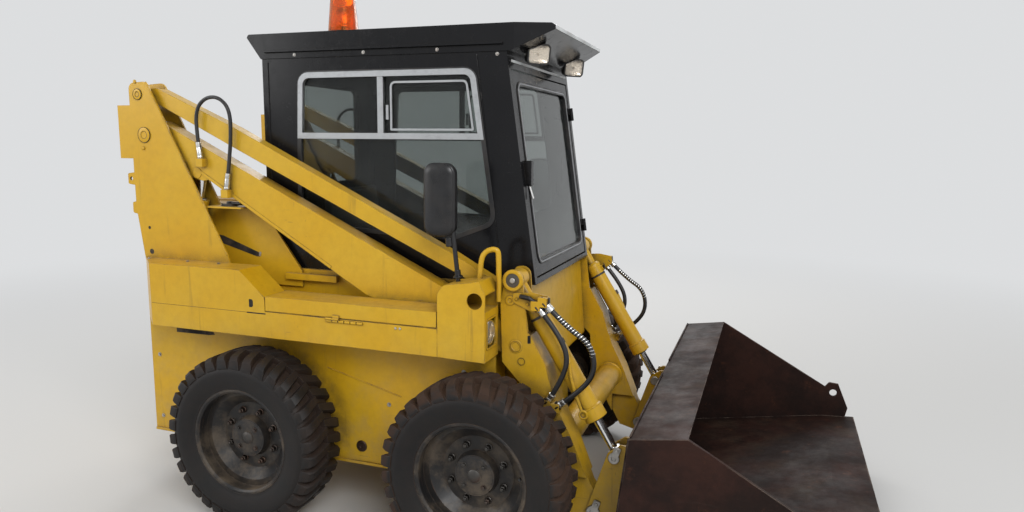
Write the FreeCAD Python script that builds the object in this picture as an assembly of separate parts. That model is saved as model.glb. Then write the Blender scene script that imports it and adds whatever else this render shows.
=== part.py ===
import FreeCAD, Part
import math
import os

# Skid steer loader with a four-bar arm linkage, a boxy cab and a wide bucket.
# Millimetres. +X is forward, +Y is the machine's left, +Z is up.
# Lengths along X are written from the rear axle; finished shapes are moved so that
# the origin lies on the ground under the middle of the whole machine.
# The left side is drawn, and the right side is its mirror image.

V = FreeCAD.Vector
os.makedirs("parts", exist_ok=True)


def offset(point, move):
    """The point moved by (x, z); a third value, a corner's radius, is kept from the move."""
    return (point[0] + move[0], point[1] + move[1]) + tuple(move[2:])


# Running gear
WHEELBASE = 1030.0
TYRE_R = 372.0              # to the tips of the lugs
TYRE_WIDTH = 230.0
LUG_DEPTH = 24.0
LUGS_PER_ROW = 22
LUG_WIDTH = 46.0
RIM_R = 222.0
RIM_BORE_R = 45.0
AXLE_FLANGE_R = 95.0
RUN_FIT = 0.05              # radial clearance of a pin or shaft in its bore

# Widths, from the cab outwards
CAB_HALF = 430.0
CAB_WALL = 30.0
CAB_INSET = 16.0            # from the cab's side to the inner wall of the arm slot
PLATE = 10.0
POST_PLATE = 10.0
ARM_HALF = 38.0
ARM_SIDE_GAP = 8.0
LINK_HALF = 30.0
LEG_PLATE = 10.0
FENDER_WIDTH = 142.0
TYRE_SIDE_GAP = 50.0        # from the hull's side to a tyre
BUCKET_SIDE_OVER = 27.0     # how far the bucket is wider than the tyres
INNER_HALF = CAB_HALF + CAB_INSET
NOSE_HALF = INNER_HALF - PLATE
FOOT_HALF = CAB_HALF - CAB_WALL - 4.0
ARM_Y = INNER_HALF + POST_PLATE + ARM_SIDE_GAP + ARM_HALF
LEG_HALF = ARM_HALF + 6.0 + LEG_PLATE
HULL_HALF = ARM_Y + ARM_HALF + ARM_SIDE_GAP + POST_PLATE
FENDER_OUT = HULL_HALF + FENDER_WIDTH
TYRE_OUTER_Y = HULL_HALF + TYRE_SIDE_GAP + TYRE_WIDTH
BUCKET_HALF = TYRE_OUTER_Y + BUCKET_SIDE_OVER

# Hull
HULL_BACK = -700.0
HULL_FRONT = 1035.0
HULL_BOTTOM = 235.0
SLOT_FLOOR = 640.0          # floor of the slot that the arms lie in
SHELF_Z = 970.0
DECK_Z = 1050.0             # the cab stands here
BAY_TOP = 1300.0
BAY_FRONT = -130.0
BAY_FLOOR = 300.0
FOOT_FLOOR = 400.0

# Cab
CAB_BACK = -110.0
CAB_LOW_FRONT = 1156.0      # foot of the raked front, at DECK_Z
CAB_TOP_FRONT = 1024.0      # head of the raked front, at ROOF_LOW
ROOF_LOW = 1960.0
ROOF_TOP = 2066.0
NOSE_FRONT = CAB_LOW_FRONT - 6.0
NOSE_TOP_FRONT = CAB_LOW_FRONT - 40.0

# Arm linkage as (x, z), seen from the side
ARM_REAR = (-665.0, 1630.0)
ARM_FRONT = (1118.0, 828.0)
LINK_OFFSET = (-25.0, 180.0)        # from an arm pin to the link pin near it, at both ends
LINK_REAR = offset(ARM_REAR, LINK_OFFSET)
LINK_FRONT = offset(ARM_FRONT, LINK_OFFSET)
BUCKET_PIVOT = offset(ARM_FRONT, (322.0, -628.0))
TILT_TOP = offset(ARM_FRONT, (-12.0, 260.0))
TILT_EYE = offset(BUCKET_PIVOT, (75.0, 230.0))
LIFT_BASE = (-560.0, 720.0)
LIFT_EYE = offset(ARM_REAR, (270.0, -165.0))
PIN_R = 20.0
SMALL_PIN_R = 15.0
BARREL_R = 38.0
LIFT_BARREL_R = 40.0
ROD_R = 18.0
EYE_GAP = 0.3               # face clearance beside an open cylinder eye

EYE_LUG = (-757.0, 1432.0)  # hole of the tie lug on the rear edge of each post
EYE_LUG_R = 9.0

# Bucket, seen from the side
BUCKET_TIP = (2463.0, 215.0)
LIP_OVER = 20.0

LENGTH_BACK = -812.0        # rear lamp housings
LENGTH_FRONT = BUCKET_TIP[0] + LIP_OVER
SHIFT = V(-(LENGTH_BACK + LENGTH_FRONT) / 2.0, 0, 0)

# Hinges: a fixed and a moving knuckle in line
HINGE_R = 9.0
HINGE_PIN_R = 4.0
HINGE_LONG = 30.0
LID_HINGE_R = 5.0
LID_HINGE_PIN_R = 2.5

# Hoses
TILT_HOSE = 20.0            # outer diameter
ARM_HOSE = 16.0
FERRULE_LONG = 34.0
FERRULE_OVER = 3.0          # how much the ferrule's radius is more than the hose's

nodes = {}


def box(x0, x1, y0, y1, z0, z1):
    return Part.makeBox(x1 - x0, y1 - y0, z1 - z0, V(x0, y0, z0))


def rounded_wire(points, place):
    """A closed wire through (a, b) or (a, b, corner radius) points, put in space by place."""
    count = len(points)
    flat = [V(p[0], p[1], 0) for p in points]
    edges = []
    starts, ends = [], []
    for i in range(count):
        here = flat[i]
        radius = points[i][2] if len(points[i]) > 2 else 0.0
        if radius <= 0:
            starts.append(here)
            ends.append(here)
            edges.append(None)
            continue
        back = (flat[i - 1] - here)
        ahead = (flat[(i + 1) % count] - here)
        back.normalize()
        ahead.normalize()
        half = back.getAngle(ahead) / 2.0
        reach = radius / math.tan(half)
        middle = (back + ahead)
        middle.normalize()
        centre = here + middle * (radius / math.sin(half))
        starts.append(here + back * reach)
        ends.append(here + ahead * reach)
        edges.append(centre - middle * radius)
    shape_edges = []
    for i in range(count):
        if edges[i] is not None:
            shape_edges.append(Part.Arc(place(starts[i]), place(edges[i]), place(ends[i])).toShape())
        a, b = place(ends[i]), place(starts[(i + 1) % count])
        if (a - b).Length > 1e-6:
            shape_edges.append(Part.LineSegment(a, b).toShape())
    return Part.Wire(shape_edges)


def side_plate(points, y0, y1):
    """A plate drawn as (x, z) points and thick along Y."""
    wire = rounded_wire(points, lambda p: V(p.x, y0, p.y))
    return Part.Face(wire).extrude(V(0, y1 - y0, 0))


def front_plate(points, x0, x1):
    """A plate drawn as (y, z) points and thick along X."""
    wire = rounded_wire(points, lambda p: V(x0, p.x, p.y))
    return Part.Face(wire).extrude(V(x1 - x0, 0, 0))


def flat_plate(points, z0, z1):
    """A plate drawn as (x, y) points and thick along Z."""
    wire = rounded_wire(points, lambda p: V(p.x, p.y, z0))
    return Part.Face(wire).extrude(V(0, 0, z1 - z0))


def rod_y(centre, radius, y0, y1):
    return Part.makeCylinder(radius, y1 - y0, V(centre[0], y0, centre[1]), V(0, 1, 0))


def rod(a, b, radius):
    return Part.makeCylinder(radius, (b - a).Length, a, b - a)


def fused(shapes):
    whole = shapes[0]
    for extra in shapes[1:]:
        whole = whole.fuse(extra)
    return whole.removeSplitter()


def without(shape, cuts):
    for cut in cuts:
        shape = shape.cut(cut)
    return shape


def mirrored(shape):
    return shape.mirror(V(0, 0, 0), V(0, 1, 0))


def both(shape):
    """The shape and its mirror image, as solids that do not touch."""
    return Part.makeCompound(shape.Solids + mirrored(shape).Solids)


def each_side(name, shape):
    """Two nodes, one a side."""
    nodes[name + "_left"] = shape
    nodes[name + "_right"] = mirrored(shape)


def drawn_in(points, by):
    """The same outline with every point a little nearer its middle, for a pane in its opening."""
    mid_a = sum(p[0] for p in points) / len(points)
    mid_b = sum(p[1] for p in points) / len(points)
    moved = []
    for p in points:
        a = p[0] + math.copysign(by, mid_a - p[0])
        b = p[1] + math.copysign(by, mid_b - p[1])
        moved.append((a, b) + tuple(p[2:]))
    return moved


def hinge(foot, fixed_tab, moving_tab, radius=HINGE_R, pin_radius=HINGE_PIN_R):
    """Upright hinge at foot: (fixed knuckle with its pin, moving knuckle) with a flat tab each.

    Each tab is (x0, x1, y0, y1) beside the pin's axis.
    """
    x, y, z = foot
    up = V(0, 0, 1)
    knuckle = Part.makeCylinder(radius, HINGE_LONG, V(x, y, z), up)
    pin = Part.makeCylinder(pin_radius, 2 * HINGE_LONG, V(x, y, z), up)
    tab = box(x + fixed_tab[0], x + fixed_tab[1], y + fixed_tab[2], y + fixed_tab[3], z, z + HINGE_LONG)
    fixed = fused([knuckle, tab, pin])
    low = z + HINGE_LONG + EYE_GAP
    sleeve = Part.makeCylinder(radius, HINGE_LONG, V(x, y, low), up)
    tab = box(x + moving_tab[0], x + moving_tab[1], y + moving_tab[2], y + moving_tab[3],
              low, low + HINGE_LONG)
    bore = Part.makeCylinder(pin_radius + RUN_FIT, 3 * HINGE_LONG, V(x, y, z - 1), up)
    moving = fused([sleeve, tab]).cut(bore)
    return fixed, moving


def tyre(centre_x):
    """Carcass turned about the axle, with two staggered rows of slanting lugs."""
    inner_y = TYRE_OUTER_Y - TYRE_WIDTH
    tread = TYRE_R - LUG_DEPTH
    half = TYRE_WIDTH / 2.0
    middle = inner_y + half
    section = [
        (RIM_R, middle - 92), (RIM_R + 40, middle - 108), (RIM_R + 85, middle - half + 2),
        (tread - 18, middle - 100), (tread, middle - 60), (tread, middle + 60),
        (tread - 18, middle + 100), (RIM_R + 85, middle + half - 2), (RIM_R + 40, middle + 108),
        (RIM_R, middle + 92),
    ]
    wire = Part.makePolygon([V(0, y, r) for r, y in section] + [V(0, section[0][1], section[0][0])])
    carcass = Part.Face(wire).revolve(V(0, 0, 0), V(0, 1, 0), 360)
    lug_low = tread - 26
    lean = LUG_WIDTH * 0.55
    corner = LUG_WIDTH / 2 + lean
    lug_top = math.sqrt(TYRE_R ** 2 - corner ** 2)
    lugs = []
    pitch = 360.0 / LUGS_PER_ROW
    for i in range(LUGS_PER_ROW):
        for row in (-1, 1):
            reach = half - 4
            points = [(-LUG_WIDTH / 2, -6 * row), (LUG_WIDTH / 2, -6 * row),
                      (LUG_WIDTH / 2 + lean, reach * row), (-LUG_WIDTH / 2 + lean, reach * row)]
            wire = Part.makePolygon([V(x, middle + y, lug_low) for x, y in points + points[:1]])
            lug = Part.Face(wire).extrude(V(0, 0, lug_top - lug_low))
            turn = pitch * (i + (0.5 if row > 0 else 0.0)) + 180.0 - math.degrees(math.atan2(corner, lug_top))
            lug.rotate(V(0, 0, 0), V(0, 1, 0), turn)
            lugs.append(lug)
    whole = carcass.multiFuse(lugs)
    whole.translate(V(centre_x, 0, TYRE_R))
    return whole


def rim(centre_x):
    """Dished disc and barrel with a hub that runs on the axle."""
    middle = TYRE_OUTER_Y - TYRE_WIDTH / 2.0
    section = [
        (RIM_BORE_R + RUN_FIT, middle - 60), (RIM_BORE_R + 45, middle - 60), (RIM_BORE_R + 45, middle - 8),
        (150, middle - 8), (190, middle + 30), (RIM_R - 12, middle + 30), (RIM_R - 12, middle - 92),
        (RIM_R - 0.3, middle - 92), (RIM_R - 0.3, middle + 92), (RIM_R - 12, middle + 92),
        (RIM_R - 12, middle + 42), (184, middle + 42), (144, middle + 4), (88, middle + 4),
        (80, middle + 40), (RIM_BORE_R + RUN_FIT, middle + 40),
    ]
    wire = Part.makePolygon([V(0, y, r) for r, y in section] + [V(0, section[0][1], section[0][0])])
    disc = Part.Face(wire).revolve(V(0, 0, 0), V(0, 1, 0), 360)
    disc.translate(V(centre_x, 0, TYRE_R))
    return disc


def axle(centre_x):
    """Axle housing on the hull with the shaft that carries the rim."""
    middle = TYRE_OUTER_Y - TYRE_WIDTH / 2.0
    centre = (centre_x, TYRE_R)
    housing = rod_y(centre, AXLE_FLANGE_R, HULL_HALF, HULL_HALF + 18)
    tube = rod_y(centre, 62, HULL_HALF, middle - 65)
    shaft = rod_y(centre, RIM_BORE_R, HULL_HALF, middle + 34)
    cap = rod_y(centre, 30, middle + 34, middle + 46)
    return fused([housing, tube, shaft, cap])


for name, x in (("front", WHEELBASE), ("rear", 0.0)):
    each_side("tyre_" + name, tyre(x))
    each_side("rim_" + name, rim(x))
nodes["axles"] = both(Part.makeCompound([axle(0.0), axle(WHEELBASE)]))


def hull():
    """Lower hull, narrow upper hull, engine bay and footwell in one weldment, without its side plates."""
    half = HULL_HALF - PLATE
    lower = box(HULL_BACK, HULL_FRONT, -half, half, HULL_BOTTOM, SLOT_FLOOR)
    closer = box(HULL_BACK, HULL_BACK + PLATE, INNER_HALF, half, SLOT_FLOOR, SHELF_Z)
    waist = box(HULL_BACK, HULL_FRONT, -INNER_HALF, INNER_HALF, SLOT_FLOOR, DECK_Z)
    bay = box(HULL_BACK, BAY_FRONT + 2 * PLATE, -INNER_HALF, INNER_HALF, DECK_Z, BAY_TOP)
    nose = side_plate([(HULL_FRONT, SLOT_FLOOR), (NOSE_FRONT, SLOT_FLOOR, 20), (NOSE_TOP_FRONT, DECK_Z),
                       (HULL_FRONT, DECK_Z)], -NOSE_HALF, NOSE_HALF)
    whole = fused([lower, waist, bay, nose, closer, mirrored(closer)])
    inner = INNER_HALF - PLATE
    well_front = HULL_FRONT - 35
    cuts = [
        box(HULL_BACK - 1, BAY_FRONT, -inner, inner, BAY_FLOOR, BAY_TOP + 1),
        box(BAY_FRONT + 2 * PLATE, well_front, -FOOT_HALF, FOOT_HALF, FOOT_FLOOR, DECK_Z + 1),
        side_plate([(well_front - 1, SLOT_FLOOR + PLATE), (NOSE_FRONT - 14, SLOT_FLOOR + PLATE),
                    (NOSE_TOP_FRONT - 12, DECK_Z + 1), (well_front - 1, DECK_Z + 1)], -FOOT_HALF, FOOT_HALF),
    ]
    return without(whole, cuts)


nodes["hull"] = hull()
nodes["hull_sides"] = both(box(HULL_BACK, HULL_FRONT, HULL_HALF - PLATE, HULL_HALF, HULL_BOTTOM, SHELF_Z))


# Boxes over the wheels
FENDER_LOW = 795.0
BOX_TOP = 1073.0
BOX_BACK = -540.0
BOX_FRONT = -60.0
LID_BACK = 66.0
LID_FRONT = 846.0
LAMP_BACK = 850.0
LAMP_FRONT = 1045.0
LAMP_TOP = 1106.0
LID_LOW = 905.0
LID_HINGE_X = 360.0


def fender():
    """Long side box: tall at the back, low under the lid, open where the lid closes it."""
    outer = [(HULL_BACK, FENDER_LOW), (LAMP_BACK - 0.3, FENDER_LOW), (LAMP_BACK - 0.3, SHELF_Z - 4),
             (LID_BACK - 4, SHELF_Z - 4), (BOX_FRONT, BOX_TOP), (HULL_BACK, BOX_TOP)]
    whole = side_plate(outer, HULL_HALF, FENDER_OUT)
    corner = flat_plate([(HULL_BACK - 1, HULL_HALF), (BOX_BACK, FENDER_OUT + 1),
                         (HULL_BACK - 1, FENDER_OUT + 1)], FENDER_LOW - 1, BOX_TOP + 1)
    hollow = box(LID_BACK + 10, LID_FRONT - 10, HULL_HALF + PLATE, FENDER_OUT - PLATE,
                 FENDER_LOW + PLATE, SHELF_Z + 1)
    lid_seat = box(LID_BACK - 4, LAMP_BACK, FENDER_OUT - 5, FENDER_OUT + 1, LID_LOW, SHELF_Z + 1)
    return without(whole, [corner, hollow, lid_seat])


def lid_hinge():
    """Small hinge that lies along the lower edge of the lid: (fixed, moving)."""
    out = LID_HINGE_R + EYE_GAP
    parts = hinge((0, 0, 0), (0, 14, -out, 0), (-16, 0, -out, 0), LID_HINGE_R, LID_HINGE_PIN_R)
    for shape in parts:
        shape.rotate(V(0, 0, 0), V(0, 1, 0), 90)
        shape.translate(V(LID_HINGE_X, FENDER_OUT + out, LID_LOW))
    return parts


each_side("fender", fused([fender(), lid_hinge()[0]]))


def lid():
    """Folded lid with a lip that hangs down over the side."""
    top = box(LID_BACK, LID_FRONT, HULL_HALF + 1, FENDER_OUT, SHELF_Z - 3.7, SHELF_Z)
    lip = box(LID_BACK, LID_FRONT, FENDER_OUT - 4.7, FENDER_OUT, LID_LOW + 5, SHELF_Z)
    return fused([top, lip, lid_hinge()[1]])


each_side("side_lid", lid())


def lamp_box():
    """Guard box at the front corner: open cell above, lamp opening below, gusset and floor."""
    y0 = HULL_HALF
    side = [(LAMP_BACK, FENDER_LOW), (LAMP_FRONT, FENDER_LOW - 5), (LAMP_FRONT, 1048),
            (LAMP_FRONT - 25, LAMP_TOP - 6, 10), (LAMP_BACK + 25, LAMP_TOP - 30, 20),
            (LAMP_BACK, LAMP_TOP - 66)]
    whole = side_plate(side, y0, FENDER_OUT)
    cell = side_plate([(LAMP_BACK + 8, 985), (LAMP_FRONT + 1, 985), (LAMP_FRONT + 1, 1046),
                       (LAMP_FRONT - 31, LAMP_TOP - 14), (LAMP_BACK + 25, LAMP_TOP - 40),
                       (LAMP_BACK + 8, LAMP_TOP - 70)], y0 + 8, FENDER_OUT - 6)
    lamp_room = box(LAMP_BACK + 20, LAMP_FRONT - 6, y0 + 8, FENDER_OUT - 8, FENDER_LOW + 12, 976)
    mouth = front_plate([(y0 + 26, 840, 16), (FENDER_OUT - 22, 840, 16), (FENDER_OUT - 22, 950, 16),
                         (y0 + 26, 950, 16)], LAMP_FRONT - 10, LAMP_FRONT + 1)
    window = rod_y((1003, 1024), 31, FENDER_OUT - 8, FENDER_OUT + 1)
    return without(whole, [cell, lamp_room, mouth, window])


nodes["lamp_boxes"] = both(lamp_box())


def headlamp():
    y = (HULL_HALF + FENDER_OUT) / 2.0 + 2
    body = Part.makeCone(30, 46, 70, V(LAMP_FRONT - 80, y, 895), V(1, 0, 0))
    seat = rod(V(LAMP_FRONT - 80, y, 895), V(LAMP_BACK + 20, y, 895), 14)
    return fused([body, seat])


nodes["headlamps"] = both(headlamp())


def grab_loop():
    """Bent tube guard: its rear leg stands on the lamp box, its front leg runs down the box's face."""
    radius = 10.5
    rear_y, front_y = HULL_HALF + 44, HULL_HALF + 24
    rear_x, front_x = LAMP_FRONT - 61, LAMP_FRONT + radius - 0.5
    path = [V(rear_x, rear_y, LAMP_TOP - 54), V(rear_x + 2, rear_y, LAMP_TOP + 58),
            V(rear_x + 40, rear_y - 10, LAMP_TOP + 94), V(front_x - 12, front_y + 3, LAMP_TOP + 96),
            V(front_x, front_y, LAMP_TOP + 78), V(front_x, front_y, LAMP_TOP - 100)]
    pieces = [rod(path[i], path[i + 1], radius) for i in range(len(path) - 1)]
    pieces += [Part.makeSphere(radius, p) for p in path[1:-1]]
    whole = fused(pieces)
    return whole.cut(side_plate([(LAMP_FRONT, 900), (LAMP_FRONT, 1048), (LAMP_FRONT - 25, LAMP_TOP - 6),
                                 (LAMP_BACK + 25, LAMP_TOP - 30), (LAMP_BACK, LAMP_TOP - 66),
                                 (LAMP_BACK, 900)], HULL_HALF, FENDER_OUT + 5))


nodes["grab_loops"] = both(grab_loop())


POST_BACK_EDGE = [(HULL_BACK, SHELF_Z), (HULL_BACK, 1048), (HULL_BACK - 38, 1300)]
POST_TOP_EDGE = [offset(ARM_REAR, (-75, 230, 30)), offset(ARM_REAR, (25, 236, 30))]
POST_INNER_Y = (INNER_HALF, INNER_HALF + POST_PLATE)
POST_OUTER_Y = (HULL_HALF - POST_PLATE, HULL_HALF)
INNER_SHELF_Z = 1320.0


def post_outer():
    """Outer plate of the rear post with its tie lugs and the rear lamp housing."""
    edge = POST_BACK_EDGE + POST_TOP_EDGE + [(-236, 1103), (-200, SHELF_Z)]
    housing = box(LENGTH_BACK, HULL_BACK - 36, INNER_HALF, HULL_HALF, 1524, 1762)
    lamp_cut = box(LENGTH_BACK - 1, LENGTH_BACK + 12, INNER_HALF + 12, HULL_HALF - 12, 1540, 1746)
    lugs = []
    for z, reach in ((EYE_LUG[1], 38), (1300, 20)):
        back = HULL_BACK - 38
        lugs.append(side_plate([(back + 8, z - 30), (back - reach, z - 24, 8), (back - reach, z + 24, 8),
                                (back + 8, z + 30)], *POST_OUTER_Y))
    eye = rod_y(EYE_LUG, EYE_LUG_R, HULL_HALF - 20, HULL_HALF + 1)
    return without(fused([side_plate(edge, *POST_OUTER_Y), housing] + lugs), [lamp_cut, eye])


def post_inner():
    """Inner plate of the rear post with the small shelf ahead of it and the strip down its back."""
    edge = POST_BACK_EDGE + POST_TOP_EDGE + [(-352, INNER_SHELF_Z), (-125, INNER_SHELF_Z),
                                             (80, 1040), (80, SHELF_Z)]
    housing_low = 1524.0
    strip = side_plate([(HULL_BACK, SHELF_Z), (HULL_BACK + 8, SHELF_Z), (HULL_BACK + 8, 1046),
                        (HULL_BACK - 30, 1300), (HULL_BACK - 32, 1480), (HULL_BACK - 40, 1480),
                        (HULL_BACK - 38, 1300), (HULL_BACK, 1048)], POST_INNER_Y[0], POST_OUTER_Y[0])
    shelf = box(-346, -160, POST_INNER_Y[0], POST_OUTER_Y[0], INNER_SHELF_Z - 8, INNER_SHELF_Z)
    under_housing = box(LENGTH_BACK, HULL_BACK - 36, *POST_INNER_Y, housing_low, 1762)
    return fused([side_plate(edge, *POST_INNER_Y), strip, shelf]).cut(under_housing)


each_side("post_outer", post_outer())
nodes["post_inners"] = both(post_inner())


def rear_lamp():
    return box(LENGTH_BACK + 2, LENGTH_BACK + 12, INNER_HALF + 16, HULL_HALF - 16, 1546, 1740)


nodes["rear_lamps"] = both(rear_lamp())


def rear_pins():
    """Pins of the arm, the link and the lift barrel at the back, fast in the post and the hull."""
    y0, y1 = INNER_HALF + POST_PLATE, HULL_HALF - POST_PLATE
    return [rod_y(ARM_REAR, PIN_R, y0, y1), rod_y(LINK_REAR, SMALL_PIN_R, y0, y1),
            rod_y(LIFT_BASE, PIN_R, INNER_HALF, HULL_HALF - PLATE)]


nodes["rear_pins"] = both(Part.makeCompound(rear_pins()))


def arm():
    """Lower arm: deep beam that tapers to round eyes, with a notched lug for the lift rod."""
    y0, y1 = ARM_Y - ARM_HALF, ARM_Y + ARM_HALF
    rear_r, front_r = 64.0, 52.0
    beam = side_plate([offset(ARM_REAR, (0, rear_r)), offset(ARM_REAR, (67, 64, 50)),
                       offset(ARM_FRONT, (22, 47)),
                       offset(ARM_FRONT, (-20, -48)), offset(ARM_FRONT, (-668, 150, 60)),
                       offset(ARM_FRONT, (-786, 218)), offset(ARM_REAR, (215, -125, 60)),
                       offset(ARM_REAR, (10, -rear_r + 2))], y0, y1)
    eyes = [rod_y(ARM_REAR, rear_r, y0, y1), rod_y(ARM_FRONT, front_r, y0, y1)]
    lug = side_plate([offset(LIFT_EYE, move) for move in (
        (-60, 55), (-34, -20, 20), (30, -34, 20), (95, -25))], y0, y1)
    notch = side_plate([offset(LIFT_EYE, move) for move in (
        (-125, -85), (105, -85), (105, 65, 30), (55, 95, 30), (-85, 95, 30), (-125, 65))],
        ARM_Y - 26, ARM_Y + 26)
    holes = [rod_y(p, PIN_R + RUN_FIT, y0 - 1, y1 + 1) for p in (ARM_REAR, ARM_FRONT)]
    whole = without(fused([beam] + eyes + [lug]), holes + [notch])
    stubs = [rod_y(LIFT_EYE, SMALL_PIN_R, ARM_Y + 22 + EYE_GAP, y1),
             rod_y(LIFT_EYE, SMALL_PIN_R, y0, ARM_Y - 22 - EYE_GAP)]
    return fused([whole] + stubs)


each_side("arm", arm())


def link():
    """Upper link: slim bar, slightly cranked near the back, with an eye at each end."""
    y0, y1 = ARM_Y - LINK_HALF, ARM_Y + LINK_HALF
    rear_r, front_r = 28.0, 24.0
    bar = side_plate([offset(LINK_REAR, (-4, 27)), offset(LINK_REAR, (90, 26, 60)),
                      offset(LINK_REAR, (494, -144)),
                      offset(LINK_FRONT, (-245, 160)), offset(LINK_FRONT, (10, 21)),
                      offset(LINK_FRONT, (-10, -21)), offset(LINK_FRONT, (-245, 92)),
                      offset(LINK_REAR, (489, -230)), offset(LINK_REAR, (100, -48, 60)),
                      offset(LINK_REAR, (4, -27))], y0, y1)
    eyes = [rod_y(LINK_REAR, rear_r, y0, y1), rod_y(LINK_FRONT, front_r, y0, y1)]
    holes = [rod_y(p, SMALL_PIN_R + RUN_FIT, y0 - 1, y1 + 1) for p in (LINK_REAR, LINK_FRONT)]
    return without(fused([bar] + eyes), holes)


nodes["links"] = both(link())


# The leg's edges as moves (x, z) from the arm's front pin, downwards in front and upwards behind
LEG_FRONT_EDGE = [offset(ARM_FRONT, move) for move in (
    (32, 182), (48, 57), (122, -71), (144, -148), (172, -228), (234, -349), (306, -528))]
LEG_REAR_EDGE = [offset(ARM_FRONT, move) for move in (
    (222, -656), (72, -378), (58, -188), (-56, -68), (-65, 172))]
TUBE_CENTRE = offset(ARM_FRONT, (167.0, -388.0))
TUBE_R = 58.0


def leg():
    """Front leg: two side plates with a plate along the front edge, a solid tongue at the foot."""
    y0, y1 = ARM_Y - LEG_HALF, ARM_Y + LEG_HALF
    outline = ([offset(ARM_FRONT, (-38, 298, 20)), offset(ARM_FRONT, (22, 304, 34))] + LEG_FRONT_EDGE +
               [offset(BUCKET_PIVOT, move) for move in ((50, 10), (20, -50), (-30, -46))] +
               LEG_REAR_EDGE)
    whole = side_plate(outline, y0, y1)
    room = side_plate([offset(ARM_FRONT, move) for move in (
        (-118, -128), (128, -128), (112, -76), (42, 42), (122, 52), (122, 372), (-118, 372))],
        y0 + LEG_PLATE, y1 - LEG_PLATE)
    beside_tongue = [offset(BUCKET_PIVOT, move) for move in (
        (-140, 135), (120, 135), (120, -100), (-140, -100))]
    tongue_cuts = [side_plate(beside_tongue, y0 - 1, ARM_Y - 33),
                   side_plate(beside_tongue, ARM_Y + 33, y1 + 1)]
    bore = rod_y(BUCKET_PIVOT, PIN_R + RUN_FIT, y0 - 1, y1 + 1)
    pins = [rod_y(ARM_FRONT, PIN_R, y0, y1), rod_y(LINK_FRONT, SMALL_PIN_R, y0, y1),
            rod_y(TILT_TOP, PIN_R, y0 - 4, y1 + 10)]
    return fused([without(whole, [room, bore] + tongue_cuts)] + pins)


each_side("leg", leg())
nodes["cross_tube"] = without(
    rod_y(TUBE_CENTRE, TUBE_R, -(ARM_Y - LEG_HALF), ARM_Y - LEG_HALF),
    [rod_y(TUBE_CENTRE, TUBE_R - 8, -(ARM_Y - LEG_HALF) - 1, ARM_Y - LEG_HALF + 1)])


def between(start, end, distance):
    """The point at a distance from start towards end, both (x, z)."""
    length = math.hypot(end[0] - start[0], end[1] - start[1])
    share = distance / length
    return (start[0] + (end[0] - start[0]) * share, start[1] + (end[1] - start[1]) * share)


def cylinder(base, eye, radius, start, barrel_length, stem_radius, rod_inside, spare, collar):
    """Barrel with its eye at base, and a rod with its eye at the other end; both lie in ARM_Y.

    start is where the full barrel begins; spare is the free bore behind the rod's inner end;
    collar is the radius of the barrel's open end.
    """
    def at(distance):
        p = between(base, eye, distance)
        return V(p[0], ARM_Y, p[1])
    length = math.hypot(eye[0] - base[0], eye[1] - base[1])
    barrel = fused([rod(at(start), at(barrel_length), radius),
                    rod(at(barrel_length - 46), at(barrel_length), collar),
                    rod_y(base, 36, ARM_Y - 32, ARM_Y + 32),
                    rod(at(18), at(start + 4), stem_radius)])
    bore = rod(at(barrel_length - rod_inside - spare), at(barrel_length + 1), ROD_R + RUN_FIT)
    barrel = without(barrel, [bore, rod_y(base, PIN_R + RUN_FIT, ARM_Y - radius - 9, ARM_Y + radius + 9)])
    stem = fused([rod(at(barrel_length - rod_inside), at(length - 12), ROD_R),
                  rod_y(eye, 30, ARM_Y - 22, ARM_Y + 22)])
    return barrel, stem


tilt_barrel, tilt_rod = cylinder(TILT_TOP, TILT_EYE, BARREL_R, 118.0, 620.0, 22.0, 380.0, 60.0,
                                 BARREL_R + 7.0)
lift_barrel, lift_rod = cylinder(LIFT_BASE, LIFT_EYE, LIFT_BARREL_R, 50.0, 640.0, 30.0, 500.0, 20.0,
                                 LIFT_BARREL_R)
nodes["tilt_barrels"] = both(tilt_barrel)
nodes["tilt_rods"] = both(tilt_rod)
nodes["lift_barrels"] = both(lift_barrel)
nodes["lift_rods"] = both(lift_rod)


# The bucket's back plate runs straight between these two
BUCKET_BACK_LOW = offset(BUCKET_PIVOT, (122.0, -50.0))
BUCKET_BACK_HIGH = offset(BUCKET_PIVOT, (168.0, 300.0))


def bucket_back_x(z):
    """Outer face of the bucket's back between its heel and its top strip."""
    share = (z - BUCKET_BACK_LOW[1]) / (BUCKET_BACK_HIGH[1] - BUCKET_BACK_LOW[1])
    return BUCKET_BACK_LOW[0] + share * (BUCKET_BACK_HIGH[0] - BUCKET_BACK_LOW[0])


def coupler():
    """Pair of plates a side that carry the bucket on the pivot and take the tilt rod."""
    sheets = []
    low, middle, high = (BUCKET_PIVOT[1] + rise for rise in (-40.0, 160.0, 280.0))
    half = ARM_HALF + 12.0
    outline = [offset(BUCKET_PIVOT, move) for move in ((-40, -30), (30, -60), (100, -70))]
    outline += [(bucket_back_x(low), low), (bucket_back_x(high), high)]
    outline += [offset(TILT_EYE, (25, 54, 20)), offset(TILT_EYE, (-25, 16, 20))]
    outline += [offset(BUCKET_PIVOT, (-16, 42))]
    for y0 in (ARM_Y - half, ARM_Y + half - 12):
        sheets.append(side_plate(outline, y0, y0 + 12))
    web = side_plate([(bucket_back_x(low) - 14, low), (bucket_back_x(low), low),
                      (bucket_back_x(middle), middle), (bucket_back_x(middle) - 14, middle)],
                     ARM_Y - half, ARM_Y + half)
    pin = rod_y(BUCKET_PIVOT, PIN_R, ARM_Y - half, ARM_Y + half)
    stubs = [rod_y(TILT_EYE, SMALL_PIN_R, ARM_Y + 22 + EYE_GAP, ARM_Y + half),
             rod_y(TILT_EYE, SMALL_PIN_R, ARM_Y - half, ARM_Y - 22 - EYE_GAP)]
    return fused(sheets + [web, pin] + stubs)


nodes["couplers"] = both(coupler())

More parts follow.
